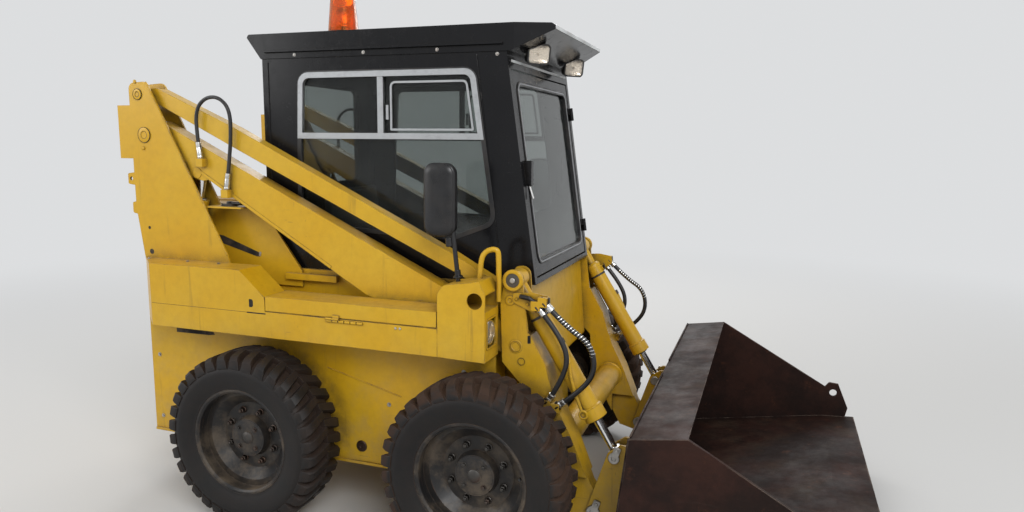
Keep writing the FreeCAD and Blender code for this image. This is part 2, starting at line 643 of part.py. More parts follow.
BUCKET_HEEL = offset(BUCKET_PIVOT, (135.0, -138.0))
BUCKET_TOP_BACK = offset(BUCKET_PIVOT, (182.0, 440.0))
BUCKET_TOP_FRONT = offset(BUCKET_PIVOT, (375.0, 468.0))


def bucket():
    """Back, floor, lip and top strip in one profile, with a sheet at each end."""
    shell = side_plate([
        BUCKET_BACK_LOW, BUCKET_HEEL + (60,), BUCKET_TIP, offset(BUCKET_TIP, (LIP_OVER, 8)),
        offset(BUCKET_TIP, (-130, 1)), offset(BUCKET_HEEL, (35, 34, 60)), offset(BUCKET_TOP_BACK, (10, -8)),
        offset(BUCKET_TOP_FRONT, (-1, -10)), BUCKET_TOP_FRONT, BUCKET_TOP_BACK, BUCKET_BACK_HIGH],
        -BUCKET_HALF, BUCKET_HALF)
    sheet = [offset(BUCKET_HEEL, (25, 28))] + [offset(BUCKET_TIP, move) for move in (
        (-23, 0), (-11, 53), (-63, 177, 8), (-107, 181, 8), (-126, 157))] + [
        BUCKET_TOP_FRONT, offset(BUCKET_TOP_BACK, (3, 1))]
    sides = [side_plate(sheet, *sorted((side * (BUCKET_HALF - 12), side * BUCKET_HALF))) for side in (-1, 1)]
    tab_holes = rod_y(offset(BUCKET_TIP, (-85, 128)), 18, -BUCKET_HALF - 1, BUCKET_HALF + 1)
    return without(fused([shell] + sides), [tab_holes])


nodes["bucket"] = bucket()


# Windows as (x or y, z, corner radius)
SIDE_WINDOW = [(60, 1240, 40), (800, 1222, 60), (978, 1290, 50), (890, 1896, 40), (78, 1896, 50)]
REAR_HALF = CAB_HALF - 110.0
REAR_WINDOW = [(-REAR_HALF, 1400, 40), (REAR_HALF, 1400, 40), (REAR_HALF, 1880, 40), (-REAR_HALF, 1880, 40)]
PANE_GAP = 0.3


def cab_side():
    """Side wall with its raked front edge and the window cut through."""
    outline = [(CAB_BACK, DECK_Z), (CAB_LOW_FRONT, DECK_Z), (CAB_TOP_FRONT, ROOF_LOW), (CAB_BACK, ROOF_LOW)]
    wall = side_plate(outline, CAB_HALF - CAB_WALL, CAB_HALF)
    return wall.cut(side_plate(SIDE_WINDOW, CAB_HALF - CAB_WALL - 1, CAB_HALF + 1))


each_side("cab_side", cab_side())

RAKE = (CAB_LOW_FRONT - CAB_TOP_FRONT) / (ROOF_LOW - DECK_Z)
DOOR_LOW = 1078.0
DOOR_HIGH = 1890.0
DOOR_HALF = CAB_HALF - CAB_WALL - 5
DOOR_THICK = 26.0
DOOR_BACK = 2.0             # the door's face lies this far behind the cab's front edge
DOOR_HINGE = (11.0, CAB_HALF - CAB_WALL - 2.0)  # ahead of the cab's front edge, and Y
DOOR_WINDOW = [(-DOOR_HALF + 45, DOOR_LOW + 50, 40), (DOOR_HALF - 45, DOOR_LOW + 50, 40),
               (DOOR_HALF - 45, DOOR_HIGH - 45, 40), (-DOOR_HALF + 45, DOOR_HIGH - 45, 40)]
DOOR_ROOM = (CAB_TOP_FRONT - 120.0, CAB_LOW_FRONT + 140.0)     # X from behind the raked door to ahead of it


def rake_x(z):
    return CAB_LOW_FRONT - RAKE * (z - DECK_Z)


def door_hinges():
    """Two hinges that lean with the cab's front, on its left edge."""
    fixed, moving = [], []
    for z in (1180.0, 1720.0):
        parts = hinge((DOOR_HINGE[0], DOOR_HINGE[1], 0), (-DOOR_HINGE[0], -4, 0, 28),
                      (-DOOR_HINGE[0] - DOOR_BACK, -4, -30, 0))
        for shape, group in zip(parts, (fixed, moving)):
            shape.rotate(V(0, 0, 0), V(0, 1, 0), -math.degrees(math.atan(RAKE)))
            shape.translate(V(rake_x(z), 0, z))
            group.append(shape)
    return fixed, moving


hinge_fixed, hinge_moving = door_hinges()
nodes["cab_side_left"] = fused([nodes["cab_side_left"]] + hinge_fixed)


def side_glass():
    return side_plate(drawn_in(SIDE_WINDOW, PANE_GAP), CAB_HALF - 18, CAB_HALF - 12)


def cab_rear():
    inner = CAB_HALF - CAB_WALL
    wall = box(CAB_BACK, CAB_BACK + CAB_WALL, -inner, inner, DECK_Z, ROOF_LOW)
    return wall.cut(front_plate(REAR_WINDOW, CAB_BACK - 1, CAB_BACK + CAB_WALL + 1))


nodes["cab_rear"] = cab_rear()
nodes["cab_glass"] = Part.makeCompound([
    side_glass(), mirrored(side_glass()),
    front_plate(drawn_in(REAR_WINDOW, PANE_GAP), CAB_BACK + 12, CAB_BACK + 18)])


def raked_bar(z0, z1, half, front, thick):
    """A bar across the raked front, from z0 to z1, set back from its face by front."""
    return side_plate([(rake_x(z0) - front, z0), (rake_x(z1) - front, z1), (rake_x(z1) - front - thick, z1),
                       (rake_x(z0) - front - thick, z0)], -half, half)


nodes["cab_front_bars"] = Part.makeCompound([
    raked_bar(DOOR_HIGH + 6, ROOF_LOW, CAB_HALF - CAB_WALL, 0, 34),
    raked_bar(DECK_Z, DOOR_LOW - 6, CAB_HALF - CAB_WALL, 0, 50)])


def door():
    leaf = raked_bar(DOOR_LOW, DOOR_HIGH, DOOR_HALF, DOOR_BACK, DOOR_THICK)
    hole = front_plate(DOOR_WINDOW, *DOOR_ROOM)
    latch = front_plate([(-DOOR_HALF + 6, 1440, 8), (-DOOR_HALF + 34, 1440, 8), (-DOOR_HALF + 34, 1540, 8),
                         (-DOOR_HALF + 6, 1540, 8)], rake_x(1490) - 12, rake_x(1490) + 26)
    return fused([leaf.cut(hole), latch] + hinge_moving)


nodes["front_door"] = door()
nodes["door_glass"] = raked_bar(DOOR_LOW + 30, DOOR_HIGH - 25, DOOR_HALF - 30, 12, 6).common(
    front_plate(drawn_in(DOOR_WINDOW, PANE_GAP), *DOOR_ROOM))


VISOR_BACK = CAB_TOP_FRONT + 16.0
VISOR_FRONT = CAB_LOW_FRONT + 48.0


def roof():
    """Roof box with a raised visor that narrows to its front, and a slanting rear fascia."""
    half = CAB_HALF + 4
    outline = [(CAB_BACK - 4, ROOF_LOW), (VISOR_BACK, ROOF_LOW), (VISOR_FRONT, ROOF_TOP - 24),
               (VISOR_FRONT, ROOF_TOP - 8, 4), (VISOR_FRONT - 14, ROOF_TOP, 6), (CAB_BACK - 66, ROOF_TOP, 10),
               (CAB_BACK - 73, ROOF_TOP - 14)]
    corner = flat_plate([(CAB_TOP_FRONT + 30, half), (VISOR_FRONT + 1, half - 56),
                         (VISOR_FRONT + 1, half + 1), (CAB_TOP_FRONT + 30, half + 1)],
                        ROOF_LOW - 1, ROOF_TOP + 1)
    return without(side_plate(outline, -half, half), [corner, mirrored(corner)])


nodes["roof"] = roof()


def work_lamp(y):
    """Square lamp head under the visor's slope, on a short stem; both heads face the machine's right."""
    half_wide, half_high, half_deep = 50.0, 41.0, 26.0
    head = front_plate([(-half_wide, -half_high, 18), (half_wide, -half_high, 18),
                        (half_wide, half_high, 18), (-half_wide, half_high, 18)], -half_deep, half_deep)
    head.rotate(V(0, 0, 0), V(0, 1, 0), 12)
    head.rotate(V(0, 0, 0), V(0, 0, 1), -48)
    centre = V(VISOR_BACK + 56, y, ROOF_LOW + 5)
    head.translate(centre)
    over = side_plate([(VISOR_BACK - 20, ROOF_LOW - 14), (VISOR_FRONT, ROOF_LOW + 78),
                       (VISOR_FRONT, ROOF_TOP), (VISOR_BACK - 20, ROOF_TOP)], y - 90, y + 90)
    stem = rod(centre, V(centre.x, y, ROOF_TOP - 30), 12)
    return fused([head.cut(over), stem])


nodes["work_lamps"] = Part.makeCompound(
    [work_lamp(side * (CAB_HALF - 158.0)).cut(roof()) for side in (-1, 1)])


def beacon():
    x, y = 215.0, 140.0 - CAB_HALF
    base = Part.makeCylinder(70, 16, V(x, y, ROOF_TOP))
    dome = Part.makeCone(66, 54, 138, V(x, y, ROOF_TOP + 16))
    cap = Part.makeCone(54, 36, 16, V(x, y, ROOF_TOP + 154))
    return fused([base, dome, cap])


nodes["beacon"] = beacon()


def mirror():
    """Mirror head on a post that stands on the lamp box."""
    y = HULL_HALF + 66
    foot = V(905, y, LAMP_TOP - 24)
    stem = rod(foot, V(870, y, 1390), 9)
    head = side_plate([(766, 1252, 42), (896, 1252, 42), (896, 1532, 42), (766, 1532, 42)], y - 16, y + 16)
    head = head.makeFillet(8, head.Edges)
    whole = fused([stem, head])
    lamp_box_top = [(LAMP_BACK, 900), (LAMP_FRONT, 900), (LAMP_FRONT - 25, LAMP_TOP - 6),
                    (LAMP_BACK + 25, LAMP_TOP - 30), (LAMP_BACK, LAMP_TOP - 66)]
    return whole.cut(side_plate(lamp_box_top, HULL_HALF, FENDER_OUT))


nodes["mirrors"] = both(mirror())


def seat():
    half = CAB_HALF - 185
    base = box(120, 520, -half + 15, half - 15, 780, 850)
    cushion = box(110, 560, -half, half, 850, 930)
    cushion = cushion.makeFillet(25, cushion.Edges)
    back = side_plate([(60, 870), (150, 870, 20), (90, 1400, 40), (20, 1400, 30)], -half + 10, half - 10)
    return base, fused([cushion, back])


seat_base, seat_pad = seat()
nodes["seat_base"] = fused([seat_base, box(140, 480, -180, 180, FOOT_FLOOR, 780)])
nodes["seat"] = seat_pad


def levers():
    pieces = []
    lever_y = CAB_HALF - 140
    for y in (-lever_y, lever_y):
        pieces.append(box(420, 620, y - 40, y + 40, FOOT_FLOOR, 900))
        pieces.append(rod(V(560, y, 900), V(640, y * 0.92, 1160), 9))
        pieces.append(Part.makeSphere(26, V(640, y * 0.92, 1160)))
    return Part.makeCompound([fused(pieces[:3]), fused(pieces[3:])])


nodes["levers"] = levers()
ENGINE_HALF = INNER_HALF - 176.0
nodes["engine"] = box(HULL_BACK + 100, BAY_FRONT - 50, -ENGINE_HALF, ENGINE_HALF, BAY_FLOOR, 980)


def rear_door():
    leaf = box(HULL_BACK - 26, HULL_BACK - 1, -INNER_HALF + 16, INNER_HALF - 16, BAY_FLOOR - 20, BAY_TOP - 8)
    slot_half = INNER_HALF - 116
    slots = [box(HULL_BACK - 30, HULL_BACK, -slot_half, slot_half, z, z + 26) for z in range(620, 1180, 56)]
    fixed, moving = [], []
    for z in (430.0, 880.0):
        parts = hinge((HULL_BACK - 32, INNER_HALF - 8, z), (0, 32, 0, 8), (0, 8, -16, 0))
        fixed.append(parts[0])
        moving.append(parts[1])
    return fused([without(leaf, slots)] + moving), fixed


nodes["rear_door"], rear_hinges = rear_door()
nodes["hull"] = fused([nodes["hull"]] + rear_hinges)


def hood():
    half = INNER_HALF - 6
    leaf = box(HULL_BACK + 2, BAY_FRONT - 14, -half, half, BAY_TOP + EYE_GAP, BAY_TOP + 24)
    fixed, moving = [], []
    for y in (-300.0, 270.0):
        parts = hinge((0, 0, 0), (0, 14, 0, 12), (-12, 0, -6, 6))
        for shape, group in zip(parts, (fixed, moving)):
            shape.rotate(V(0, 0, 0), V(1, 0, 0), -90)
            shape.translate(V(BAY_FRONT - 4, y, BAY_TOP + 12))
            group.append(shape)
    return fused([leaf] + moving), fixed


nodes["hood"], hood_hinges = hood()
nodes["hull"] = fused([nodes["hull"]] + hood_hinges)

# Hose routes as (x, z) points, from the upper or rear end to the other
TILT_HOSE_Y = ARM_Y + LEG_HALF + 18.0
ARM_HOSE_Y = ARM_Y + ARM_HALF + 16.0
TILT_HOSE_A = [(1228, 975), (1290, 905), (1336, 810), (1308, 715), (1268, 648)]
TILT_HOSE_B = [(1258, 993), (1330, 925), (1420, 870), (1440, 770), (1390, 690), (1314, 630)]
ARM_HOSE_LOOP = [(-360, 1545), (-370, 1625), (-372, 1738), (-318, 1792), (-242, 1793), (-188, 1738),
                 (-190, 1620), (-206, 1510), (-222, 1412)]


def hose(name, points, y, diameter):
    """Tube of straight runs and tangent arcs; its radii, length and volume are printed."""
    route = [V(x, y, z) for x, z in points]
    runs = [(b - a).Length for a, b in zip(route, route[1:])]
    edges, radii = [], []
    start = route[0]
    for i in range(1, len(route) - 1):
        back, ahead = route[i - 1] - route[i], route[i + 1] - route[i]
        reach = 0.45 * min(runs[i - 1], runs[i])
        half = back.getAngle(ahead) / 2.0
        radius = reach * math.tan(half)
        back.normalize()
        ahead.normalize()
        middle = back + ahead
        middle.normalize()
        into, out = route[i] + back * reach, route[i] + ahead * reach
        top = route[i] + middle * (radius / math.sin(half) - radius)
        edges.append(Part.LineSegment(start, into).toShape())
        edges.append(Part.Arc(into, top, out).toShape())
        radii.append(round(radius))
        start = out
    edges.append(Part.LineSegment(start, route[-1]).toShape())
    line = Part.Wire(edges)
    section = Part.Wire(Part.makeCircle(diameter / 2.0, route[0], route[1] - route[0]))
    tube = line.makePipeShell([section], True, False)
    expected = line.Length * math.pi * diameter ** 2 / 4.0
    share = round(tube.Volume / expected, 3)
    print(name, "radii", radii, "length", round(line.Length), "volume share", share)
    return tube


def ferrule(points, y, diameter, seat_y):
    """Ferrule behind the first point of a route, on a block that stands on seat_y."""
    first, second = V(points[0][0], y, points[0][1]), V(points[1][0], y, points[1][1])
    ahead = second - first
    ahead.normalize()
    sleeve = rod(first - ahead * FERRULE_LONG, first, diameter / 2.0 + FERRULE_OVER)
    foot = first - ahead * FERRULE_LONG
    base = box(foot.x - 18, foot.x + 18, seat_y, y + diameter / 2.0 + FERRULE_OVER + 4,
               foot.z - 18, foot.z + 18)
    return fused([base, sleeve])


def front_ports():
    """Bracket that stands ahead of the leg's top with two ports, and the double port lower down."""
    seat = ARM_Y + LEG_HALF
    bracket = side_plate([(1106, 1004, 10), (1186, 968, 12), (1226, 974, 10), (1258, 1000, 14),
                          (1252, 1036, 12), (1190, 1046, 14), (1106, 1040, 10)], seat, seat + 6)
    upper = [ferrule(route, TILT_HOSE_Y, TILT_HOSE, seat + 6) for route in (TILT_HOSE_A, TILT_HOSE_B)]
    lower = [ferrule(route[::-1], TILT_HOSE_Y, TILT_HOSE, seat) for route in (TILT_HOSE_A, TILT_HOSE_B)]
    return Part.makeCompound([fused([bracket] + upper), fused(lower)])


def arm_ports():
    """Ports on the outer face of the arm at both ends of its hose loop."""
    seat = ARM_Y + ARM_HALF
    return Part.makeCompound([ferrule(route, ARM_HOSE_Y, ARM_HOSE, seat)
                              for route in (ARM_HOSE_LOOP, ARM_HOSE_LOOP[::-1])])


nodes["front_ports"] = both(front_ports())
nodes["arm_ports"] = both(arm_ports())
each_side("tilt_hose_a", hose("tilt_hose_a", TILT_HOSE_A, TILT_HOSE_Y, TILT_HOSE))
each_side("tilt_hose_b", hose("tilt_hose_b", TILT_HOSE_B, TILT_HOSE_Y, TILT_HOSE))
each_side("arm_hose", hose("arm_hose", ARM_HOSE_LOOP, ARM_HOSE_Y, ARM_HOSE))

for name, shape in nodes.items():
    placed = shape.copy()
    placed.translate(SHIFT)
    placed.exportStep("parts/" + name + ".step")
    print(name, len(placed.Solids), round(placed.Volume / 1e6, 2), "litres", placed.isValid())
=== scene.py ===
import bmesh
import bpy
import math
from mathutils import Matrix, Vector


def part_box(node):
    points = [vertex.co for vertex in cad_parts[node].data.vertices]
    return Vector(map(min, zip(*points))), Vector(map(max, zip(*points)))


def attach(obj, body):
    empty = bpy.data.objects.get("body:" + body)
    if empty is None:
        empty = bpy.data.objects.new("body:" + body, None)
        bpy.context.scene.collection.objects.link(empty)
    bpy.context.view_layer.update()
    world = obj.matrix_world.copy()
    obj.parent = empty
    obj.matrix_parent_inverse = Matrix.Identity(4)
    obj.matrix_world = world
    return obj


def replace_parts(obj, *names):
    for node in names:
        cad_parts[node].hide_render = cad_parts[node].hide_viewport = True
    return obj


# Looks of a skid steer loader. Sizes are millimetres from the rear axle: +X forward, +Y the
# machine's left, +Z up from the ground. P() turns them into the frame's metres.

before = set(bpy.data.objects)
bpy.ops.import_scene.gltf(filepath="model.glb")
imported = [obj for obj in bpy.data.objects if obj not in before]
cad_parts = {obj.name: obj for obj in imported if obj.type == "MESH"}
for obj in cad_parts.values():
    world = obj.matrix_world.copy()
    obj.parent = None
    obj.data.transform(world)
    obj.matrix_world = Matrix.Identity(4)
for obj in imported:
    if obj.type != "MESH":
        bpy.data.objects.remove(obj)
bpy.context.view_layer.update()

AXLE_LOW, AXLE_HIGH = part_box("tyre_rear_left")
REAR_AXLE_X = (AXLE_LOW.x + AXLE_HIGH.x) / 2

# Running gear
WHEELBASE = 1030.0
TYRE_R = 372.0
TYRE_MIDDLE_Y = 723.0
RIM_R = 222.0
LUGS_PER_ROW = 34

# Widths
CAB_HALF = 430.0
INNER_HALF = 446.0
ARM_Y = 502.0
ARM_OUT = 540.0
LEG_OUT = 556.0
HULL_HALF = 558.0
FENDER_OUT = 700.0

# Side view, as (x, z)
ARM_REAR = (-665.0, 1630.0)
ARM_FRONT = (1118.0, 828.0)
LINK_REAR = (-690.0, 1810.0)
LINK_FRONT = (1093.0, 1008.0)
BUCKET_PIVOT = (1440.0, 200.0)
TILT_TOP = (1106.0, 1088.0)
TILT_EYE = (1515.0, 430.0)
LIFT_BASE = (-560.0, 720.0)
LIFT_EYE = (-395.0, 1465.0)
DECK_Z = 1050.0
ROOF_TOP = 2066.0
CAB_LOW_FRONT = 1156.0
RAKE = 132.0 / 910.0

# Hose routes as (x, z), and the radius of the grab loops' tube in metres
TILT_HOSE_Y = 574.0
ARM_HOSE_Y = 556.0
GRAB_TUBE_R = 0.0105
TILT_HOSE_A = [(1228, 975), (1290, 905), (1336, 810), (1308, 715), (1268, 648)]
TILT_HOSE_B = [(1258, 993), (1330, 925), (1420, 870), (1440, 770), (1390, 690), (1314, 630)]
ARM_HOSE_LOOP = [(-360, 1545), (-370, 1625), (-372, 1738), (-318, 1792), (-242, 1793), (-188, 1738),
                 (-190, 1620), (-206, 1510), (-222, 1412)]

# Camera: place, turn about the upright, tilt down and roll in radians, and lens in millimetres
CAMERA_AT = (2029.53, -3192.50, 1601.83)
CAMERA_YAW = 0.339284
CAMERA_PITCH = 0.149174
CAMERA_ROLL = 0.0096167
CAMERA_LENS = 26.015

PALE = (0.72, 0.73, 0.74)
DUST = (0.27, 0.20, 0.13)
# Dark brown for grime streaks on paint and for painted shade in corners.
GRIME_AND_SHADE_COLOUR = (0.045, 0.034, 0.024)
RUST = (0.17, 0.065, 0.025)
BARE_STEEL = (0.36, 0.34, 0.32)

X, Y, Z = (1, 0, 0), (0, 1, 0), (0, 0, 1)
SIDES = (("left", 1), ("right", -1))


def P(x, y, z):
    return Vector((REAR_AXLE_X + x / 1000, y / 1000, z / 1000))


def rake_x(z):
    """X of the cab's raked front at a height."""
    return CAB_LOW_FRONT - RAKE * (z - DECK_Z)


# Node trees


class Graph:
    """Short ways to add nodes to a tree."""

    def __init__(self, tree):
        self.tree = tree

    def node(self, kind, **settings):
        made = self.tree.nodes.new(kind)
        for key, value in settings.items():
            setattr(made, key, value)
        return made

    def feed(self, socket, value):
        if isinstance(value, bpy.types.NodeSocket):
            self.tree.links.new(value, socket)
        elif isinstance(value, tuple) and len(value) == 3 and socket.type == "RGBA":
            socket.default_value = value + (1.0,)
        else:
            socket.default_value = value

    def math(self, kind, first, second=0.0):
        made = self.node("ShaderNodeMath", operation=kind, use_clamp=True)
        self.feed(made.inputs[0], first)
        self.feed(made.inputs[1], second)
        return made.outputs[0]

    def between(self, value, low, high, out_low=0.0, out_high=1.0):
        """The value's way from low to high, smoothed and given as out_low to out_high."""
        made = self.node("ShaderNodeMapRange", interpolation_type="SMOOTHSTEP")
        for socket, number in zip(made.inputs, (value, low, high, out_low, out_high)):
            self.feed(socket, number)
        return made.outputs[0]

    def blend(self, share, first, second, output):
        """Mixes two shaders into the tree's output."""
        made = self.node("ShaderNodeMixShader")
        for socket, value in zip(made.inputs, (share, first.outputs[0], second.outputs[0])):
            self.feed(socket, value)
        self.feed(self.tree.nodes[output].inputs["Surface"], made.outputs[0])


class Finish(Graph):
    """A procedural material in the object's own coordinates, so that it moves with its piece."""

    def __init__(self, name):
        self.material = bpy.data.materials.new(name)
        self.material.use_nodes = True
        super().__init__(self.material.node_tree)
        self.shader = self.tree.nodes["Principled BSDF"]
        coordinates = self.node("ShaderNodeTexCoord")
        self.place = coordinates.outputs["Object"]
        self.normal = coordinates.outputs["Normal"]

    def times(self, first, second):
        return self.math("MULTIPLY", first, second)

    def noise(self, scale, detail=4.0, roughness=0.6, stretch=(1, 1, 1), shift=(0, 0, 0)):
        mapping = self.node("ShaderNodeMapping")
        self.feed(mapping.inputs["Vector"], self.place)
        mapping.inputs["Scale"].default_value = stretch
        mapping.inputs["Location"].default_value = shift
        made = self.node("ShaderNodeTexNoise")
        for key, value in (("Vector", mapping.outputs[0]), ("Scale", scale), ("Detail", detail),
                           ("Roughness", roughness)):
            self.feed(made.inputs[key], value)
        return made.outputs[0]

    def cloud(self, low, high, scale, *noise, out=(0.0, 1.0), **more):
        """Noise from low to high, smoothed and given as the range out."""
        return self.between(self.noise(scale, *noise, **more), low, high, *out)

    def mix(self, share, first, second):
        made = self.node("ShaderNodeMix", data_type="RGBA")
        for index, value in ((0, share), (6, first), (7, second)):
            self.feed(made.inputs[index], value)
        return made.outputs[2]

    def part(self, vector, axis):
        made = self.node("ShaderNodeSeparateXYZ")
        self.feed(made.inputs[0], vector)
        return made.outputs[axis]

    def softened(self, radius):
        made = self.node("ShaderNodeBevel", samples=4)
        made.inputs["Radius"].default_value = radius
        return made.outputs[0]

    def edges(self, radius):
        """1 on the piece's edges and 0 on its faces."""
        dot = self.node("ShaderNodeVectorMath", operation="DOT_PRODUCT")
        self.feed(dot.inputs[0], self.softened(radius))
        self.feed(dot.inputs[1], self.node("ShaderNodeNewGeometry").outputs["Normal"])
        return self.between(dot.outputs["Value"], 0.998, 0.93)

    def corners(self, distance):
        """1 in occluded corners and recesses, 0 in the open; the mask for painted corner shade and for dust
        in corners.
        """
        made = self.node("ShaderNodeAmbientOcclusion", samples=4)
        made.inputs["Distance"].default_value = distance
        return self.between(made.outputs["AO"], 0.85, 0.35)

    def bump(self, height, strength, distance=0.002, soften=0.0):
        made = self.node("ShaderNodeBump")
        if soften:
            self.feed(made.inputs["Normal"], self.softened(soften))
        for key, value in (("Strength", strength), ("Distance", distance), ("Height", height)):
            self.feed(made.inputs[key], value)
        self.feed(self.shader.inputs["Normal"], made.outputs[0])

    def set(self, **values):
        for key, value in values.items():
            self.feed(self.shader.inputs[key.replace("_", " ").title().replace("Ior", "IOR")], value)


# Camera, light and floor


def add(name, data):
    made = bpy.data.objects.new(name, data)
    bpy.context.scene.collection.objects.link(made)
    return made


def make_camera():
    camera = add("camera", bpy.data.cameras.new("camera"))
    turn = Matrix.Rotation(CAMERA_YAW, 4, "Z") @ Matrix.Rotation(math.pi / 2 - CAMERA_PITCH, 4, "X")
    camera.matrix_world = Matrix.Translation(P(*CAMERA_AT)) @ turn @ Matrix.Rotation(CAMERA_ROLL, 4, "Z")
    camera.data.lens = CAMERA_LENS
    camera.data.sensor_width = 36.0
    camera.data.clip_end = 200.0
    bpy.context.scene.camera = camera


def make_light(name, place, aim, size, watts):
    lamp = add(name, bpy.data.lights.new(name, "AREA"))
    lamp.data.shape = "RECTANGLE"
    lamp.data.size, lamp.data.size_y = size
    lamp.data.energy = watts
    lamp.location = place
    lamp.rotation_euler = (Vector(aim) - Vector(place)).to_track_quat("-Z", "Y").to_euler()


def make_floor():
    """Pale floor that fades with distance into the sky's colour."""
    data = bpy.data.meshes.new("floor")
    half = 60.0
    corners = [(-half, -half, 0), (half, -half, 0), (half, half, 0), (-half, half, 0)]
    data.from_pydata(corners, [], [(0, 1, 2, 3)])
    f = Finish("pale_floor")
    f.set(base_color=(0.62, 0.61, 0.59), roughness=0.9)
    far = f.node("ShaderNodeEmission")
    f.feed(far.inputs["Color"], PALE)
    distance = f.node("ShaderNodeVectorMath", operation="LENGTH")
    f.feed(distance.inputs[0], f.place)
    f.blend(f.between(distance.outputs["Value"], 2.6, 9.0), f.shader, far, "Material Output")
    data.materials.append(f.material)
    add("floor", data)


def make_sky():
    """Soft light, with a plain pale colour for the rays that show or mirror the sky."""
    world = bpy.data.worlds.new("studio")
    bpy.context.scene.world = world
    world.use_nodes = True
    sky = Graph(world.node_tree)
    back = sky.tree.nodes["Background"]
    sky.feed(back.inputs["Color"], (0.93, 0.96, 1.0))
    back.inputs["Strength"].default_value = 0.5
    shown = sky.node("ShaderNodeBackground")
    sky.feed(shown.inputs["Color"], PALE)
    rays = sky.node("ShaderNodeLightPath").outputs
    seen = sky.math("MAXIMUM", rays["Is Camera Ray"], rays["Is Transmission Ray"])
    seen = sky.math("MAXIMUM", seen, rays["Is Glossy Ray"])
    sky.blend(seen, back, shown, "World Output")


make_camera()
make_floor()
make_sky()
make_light("key", (5.0, -6.0, 6.5), (0.2, 0, 0.8), (5.0, 4.0), 520)
make_light("fill", (-6.5, -4.5, 4.0), (0, 0, 0.8), (5.0, 4.0), 190)
make_light("back", (-1.5, 7.0, 6.0), (0, 0, 0.9), (6.0, 3.0), 330)
bpy.context.scene.view_settings.view_transform = "Standard"


# Materials


def shade(colour, factor, add_on=0.0):
    return tuple(min(c * factor + add_on, 1) for c in colour)


def painted(name, colour, faded, wear_colour, gloss, wear, dust, grime_and_shade, shine=0.35, waves=0.35):
    """Worn paint: fading, painted shade in corners, dust on top faces, chips, rubbed edges, scratches and
    grime streaks.
    """
    f = Finish(name)
    base = f.mix(f.cloud(0.35, 0.7, 1.7, 3), colour, faded)
    fine = f.cloud(0.3, 0.75, 24, 6, 0.7)
    base = f.mix(f.times(fine, 0.22), base, shade(colour, 0.55))
    streaks = f.cloud(0.58, 0.75, 3.0, 6, 0.65, stretch=(9, 9, 0.6))
    base = f.mix(f.times(streaks, 0.35 * grime_and_shade), base, GRIME_AND_SHADE_COLOUR)
    low = f.between(f.part(f.place, 2), 1.1, 0.25)
    splash = f.times(low, f.cloud(0.42, 0.66, 7, 7, 0.7))
    base = f.mix(f.times(splash, dust), base, DUST)
    # Painted shade: corners and recesses darkened by ambient occlusion.
    corner = f.times(f.corners(0.09), f.cloud(0.25, 0.6, 11, 5))
    base = f.mix(f.times(corner, grime_and_shade), base, GRIME_AND_SHADE_COLOUR)
    upward = f.between(f.part(f.normal, 2), 0.72, 1.0)
    settled = f.times(upward, f.cloud(0.32, 0.62, 5, 6))
    base = f.mix(f.times(settled, dust), base, DUST)
    rubbed = f.times(f.edges(0.005), f.cloud(0.62 - 0.25 * wear, 0.72, 16, 6, 0.7))
    scratches = f.math("MAXIMUM", f.cloud(0.69, 0.71, 5, 3, stretch=(2.0, 2.0, 46.0)),
                       f.cloud(0.70, 0.72, 6, 3, stretch=(40.0, 40.0, 3.0), shift=(3, 1, 2)))
    scratched = f.times(scratches, f.cloud(0.5, 0.62, 2.2, 2))
    chips = f.cloud(0.735 - 0.03 * wear, 0.75 - 0.03 * wear, 34, 8, 0.75)
    worn = f.math("MAXIMUM", rubbed, f.times(f.math("MAXIMUM", chips, scratched), wear))
    base = f.mix(worn, base, wear_colour)
    dull = f.times(f.math("MAXIMUM", settled, splash), dust)
    rough = f.between(f.math("ADD", f.times(fine, 0.35), dull), 0.0, 1.2, gloss, 0.85)
    f.set(base_color=base, roughness=rough, coat_weight=0.06, coat_roughness=0.12, specular_ior_level=shine)
    peel = f.math("ADD", f.times(f.noise(4, 3), 0.6), f.times(f.noise(160, 2), 0.12))
    f.bump(f.math("SUBTRACT", peel, f.times(worn, 0.35)), waves, 0.0025, 0.003)
    return f.material


def metal(name, colour, rough, stain, marks, spots=1.0, grime_and_shade=0.7):
    """Bare metal with stains, brushed marks along Z and painted shade in corners."""
    f = Finish(name)
    base = f.mix(f.cloud(0.45, 0.72, 18, 6, 0.7, out=(0.0, spots)), colour, shade(colour, 0.6))
    base = f.mix(f.times(f.cloud(0.5, 0.7, 6, 5), stain), base, RUST)
    # Painted shade: corners darkened by ambient occlusion.
    if grime_and_shade:
        base = f.mix(f.times(f.corners(0.03), grime_and_shade), base, GRIME_AND_SHADE_COLOUR)
    lines = f.noise(60, 3, 0.6, stretch=(1, 1, 12))
    f.set(base_color=base, metallic=1.0, roughness=f.between(lines, 0.2, 0.8, rough, rough + 1.5 * marks))
    f.bump(lines, marks, 0.001)
    return f.material


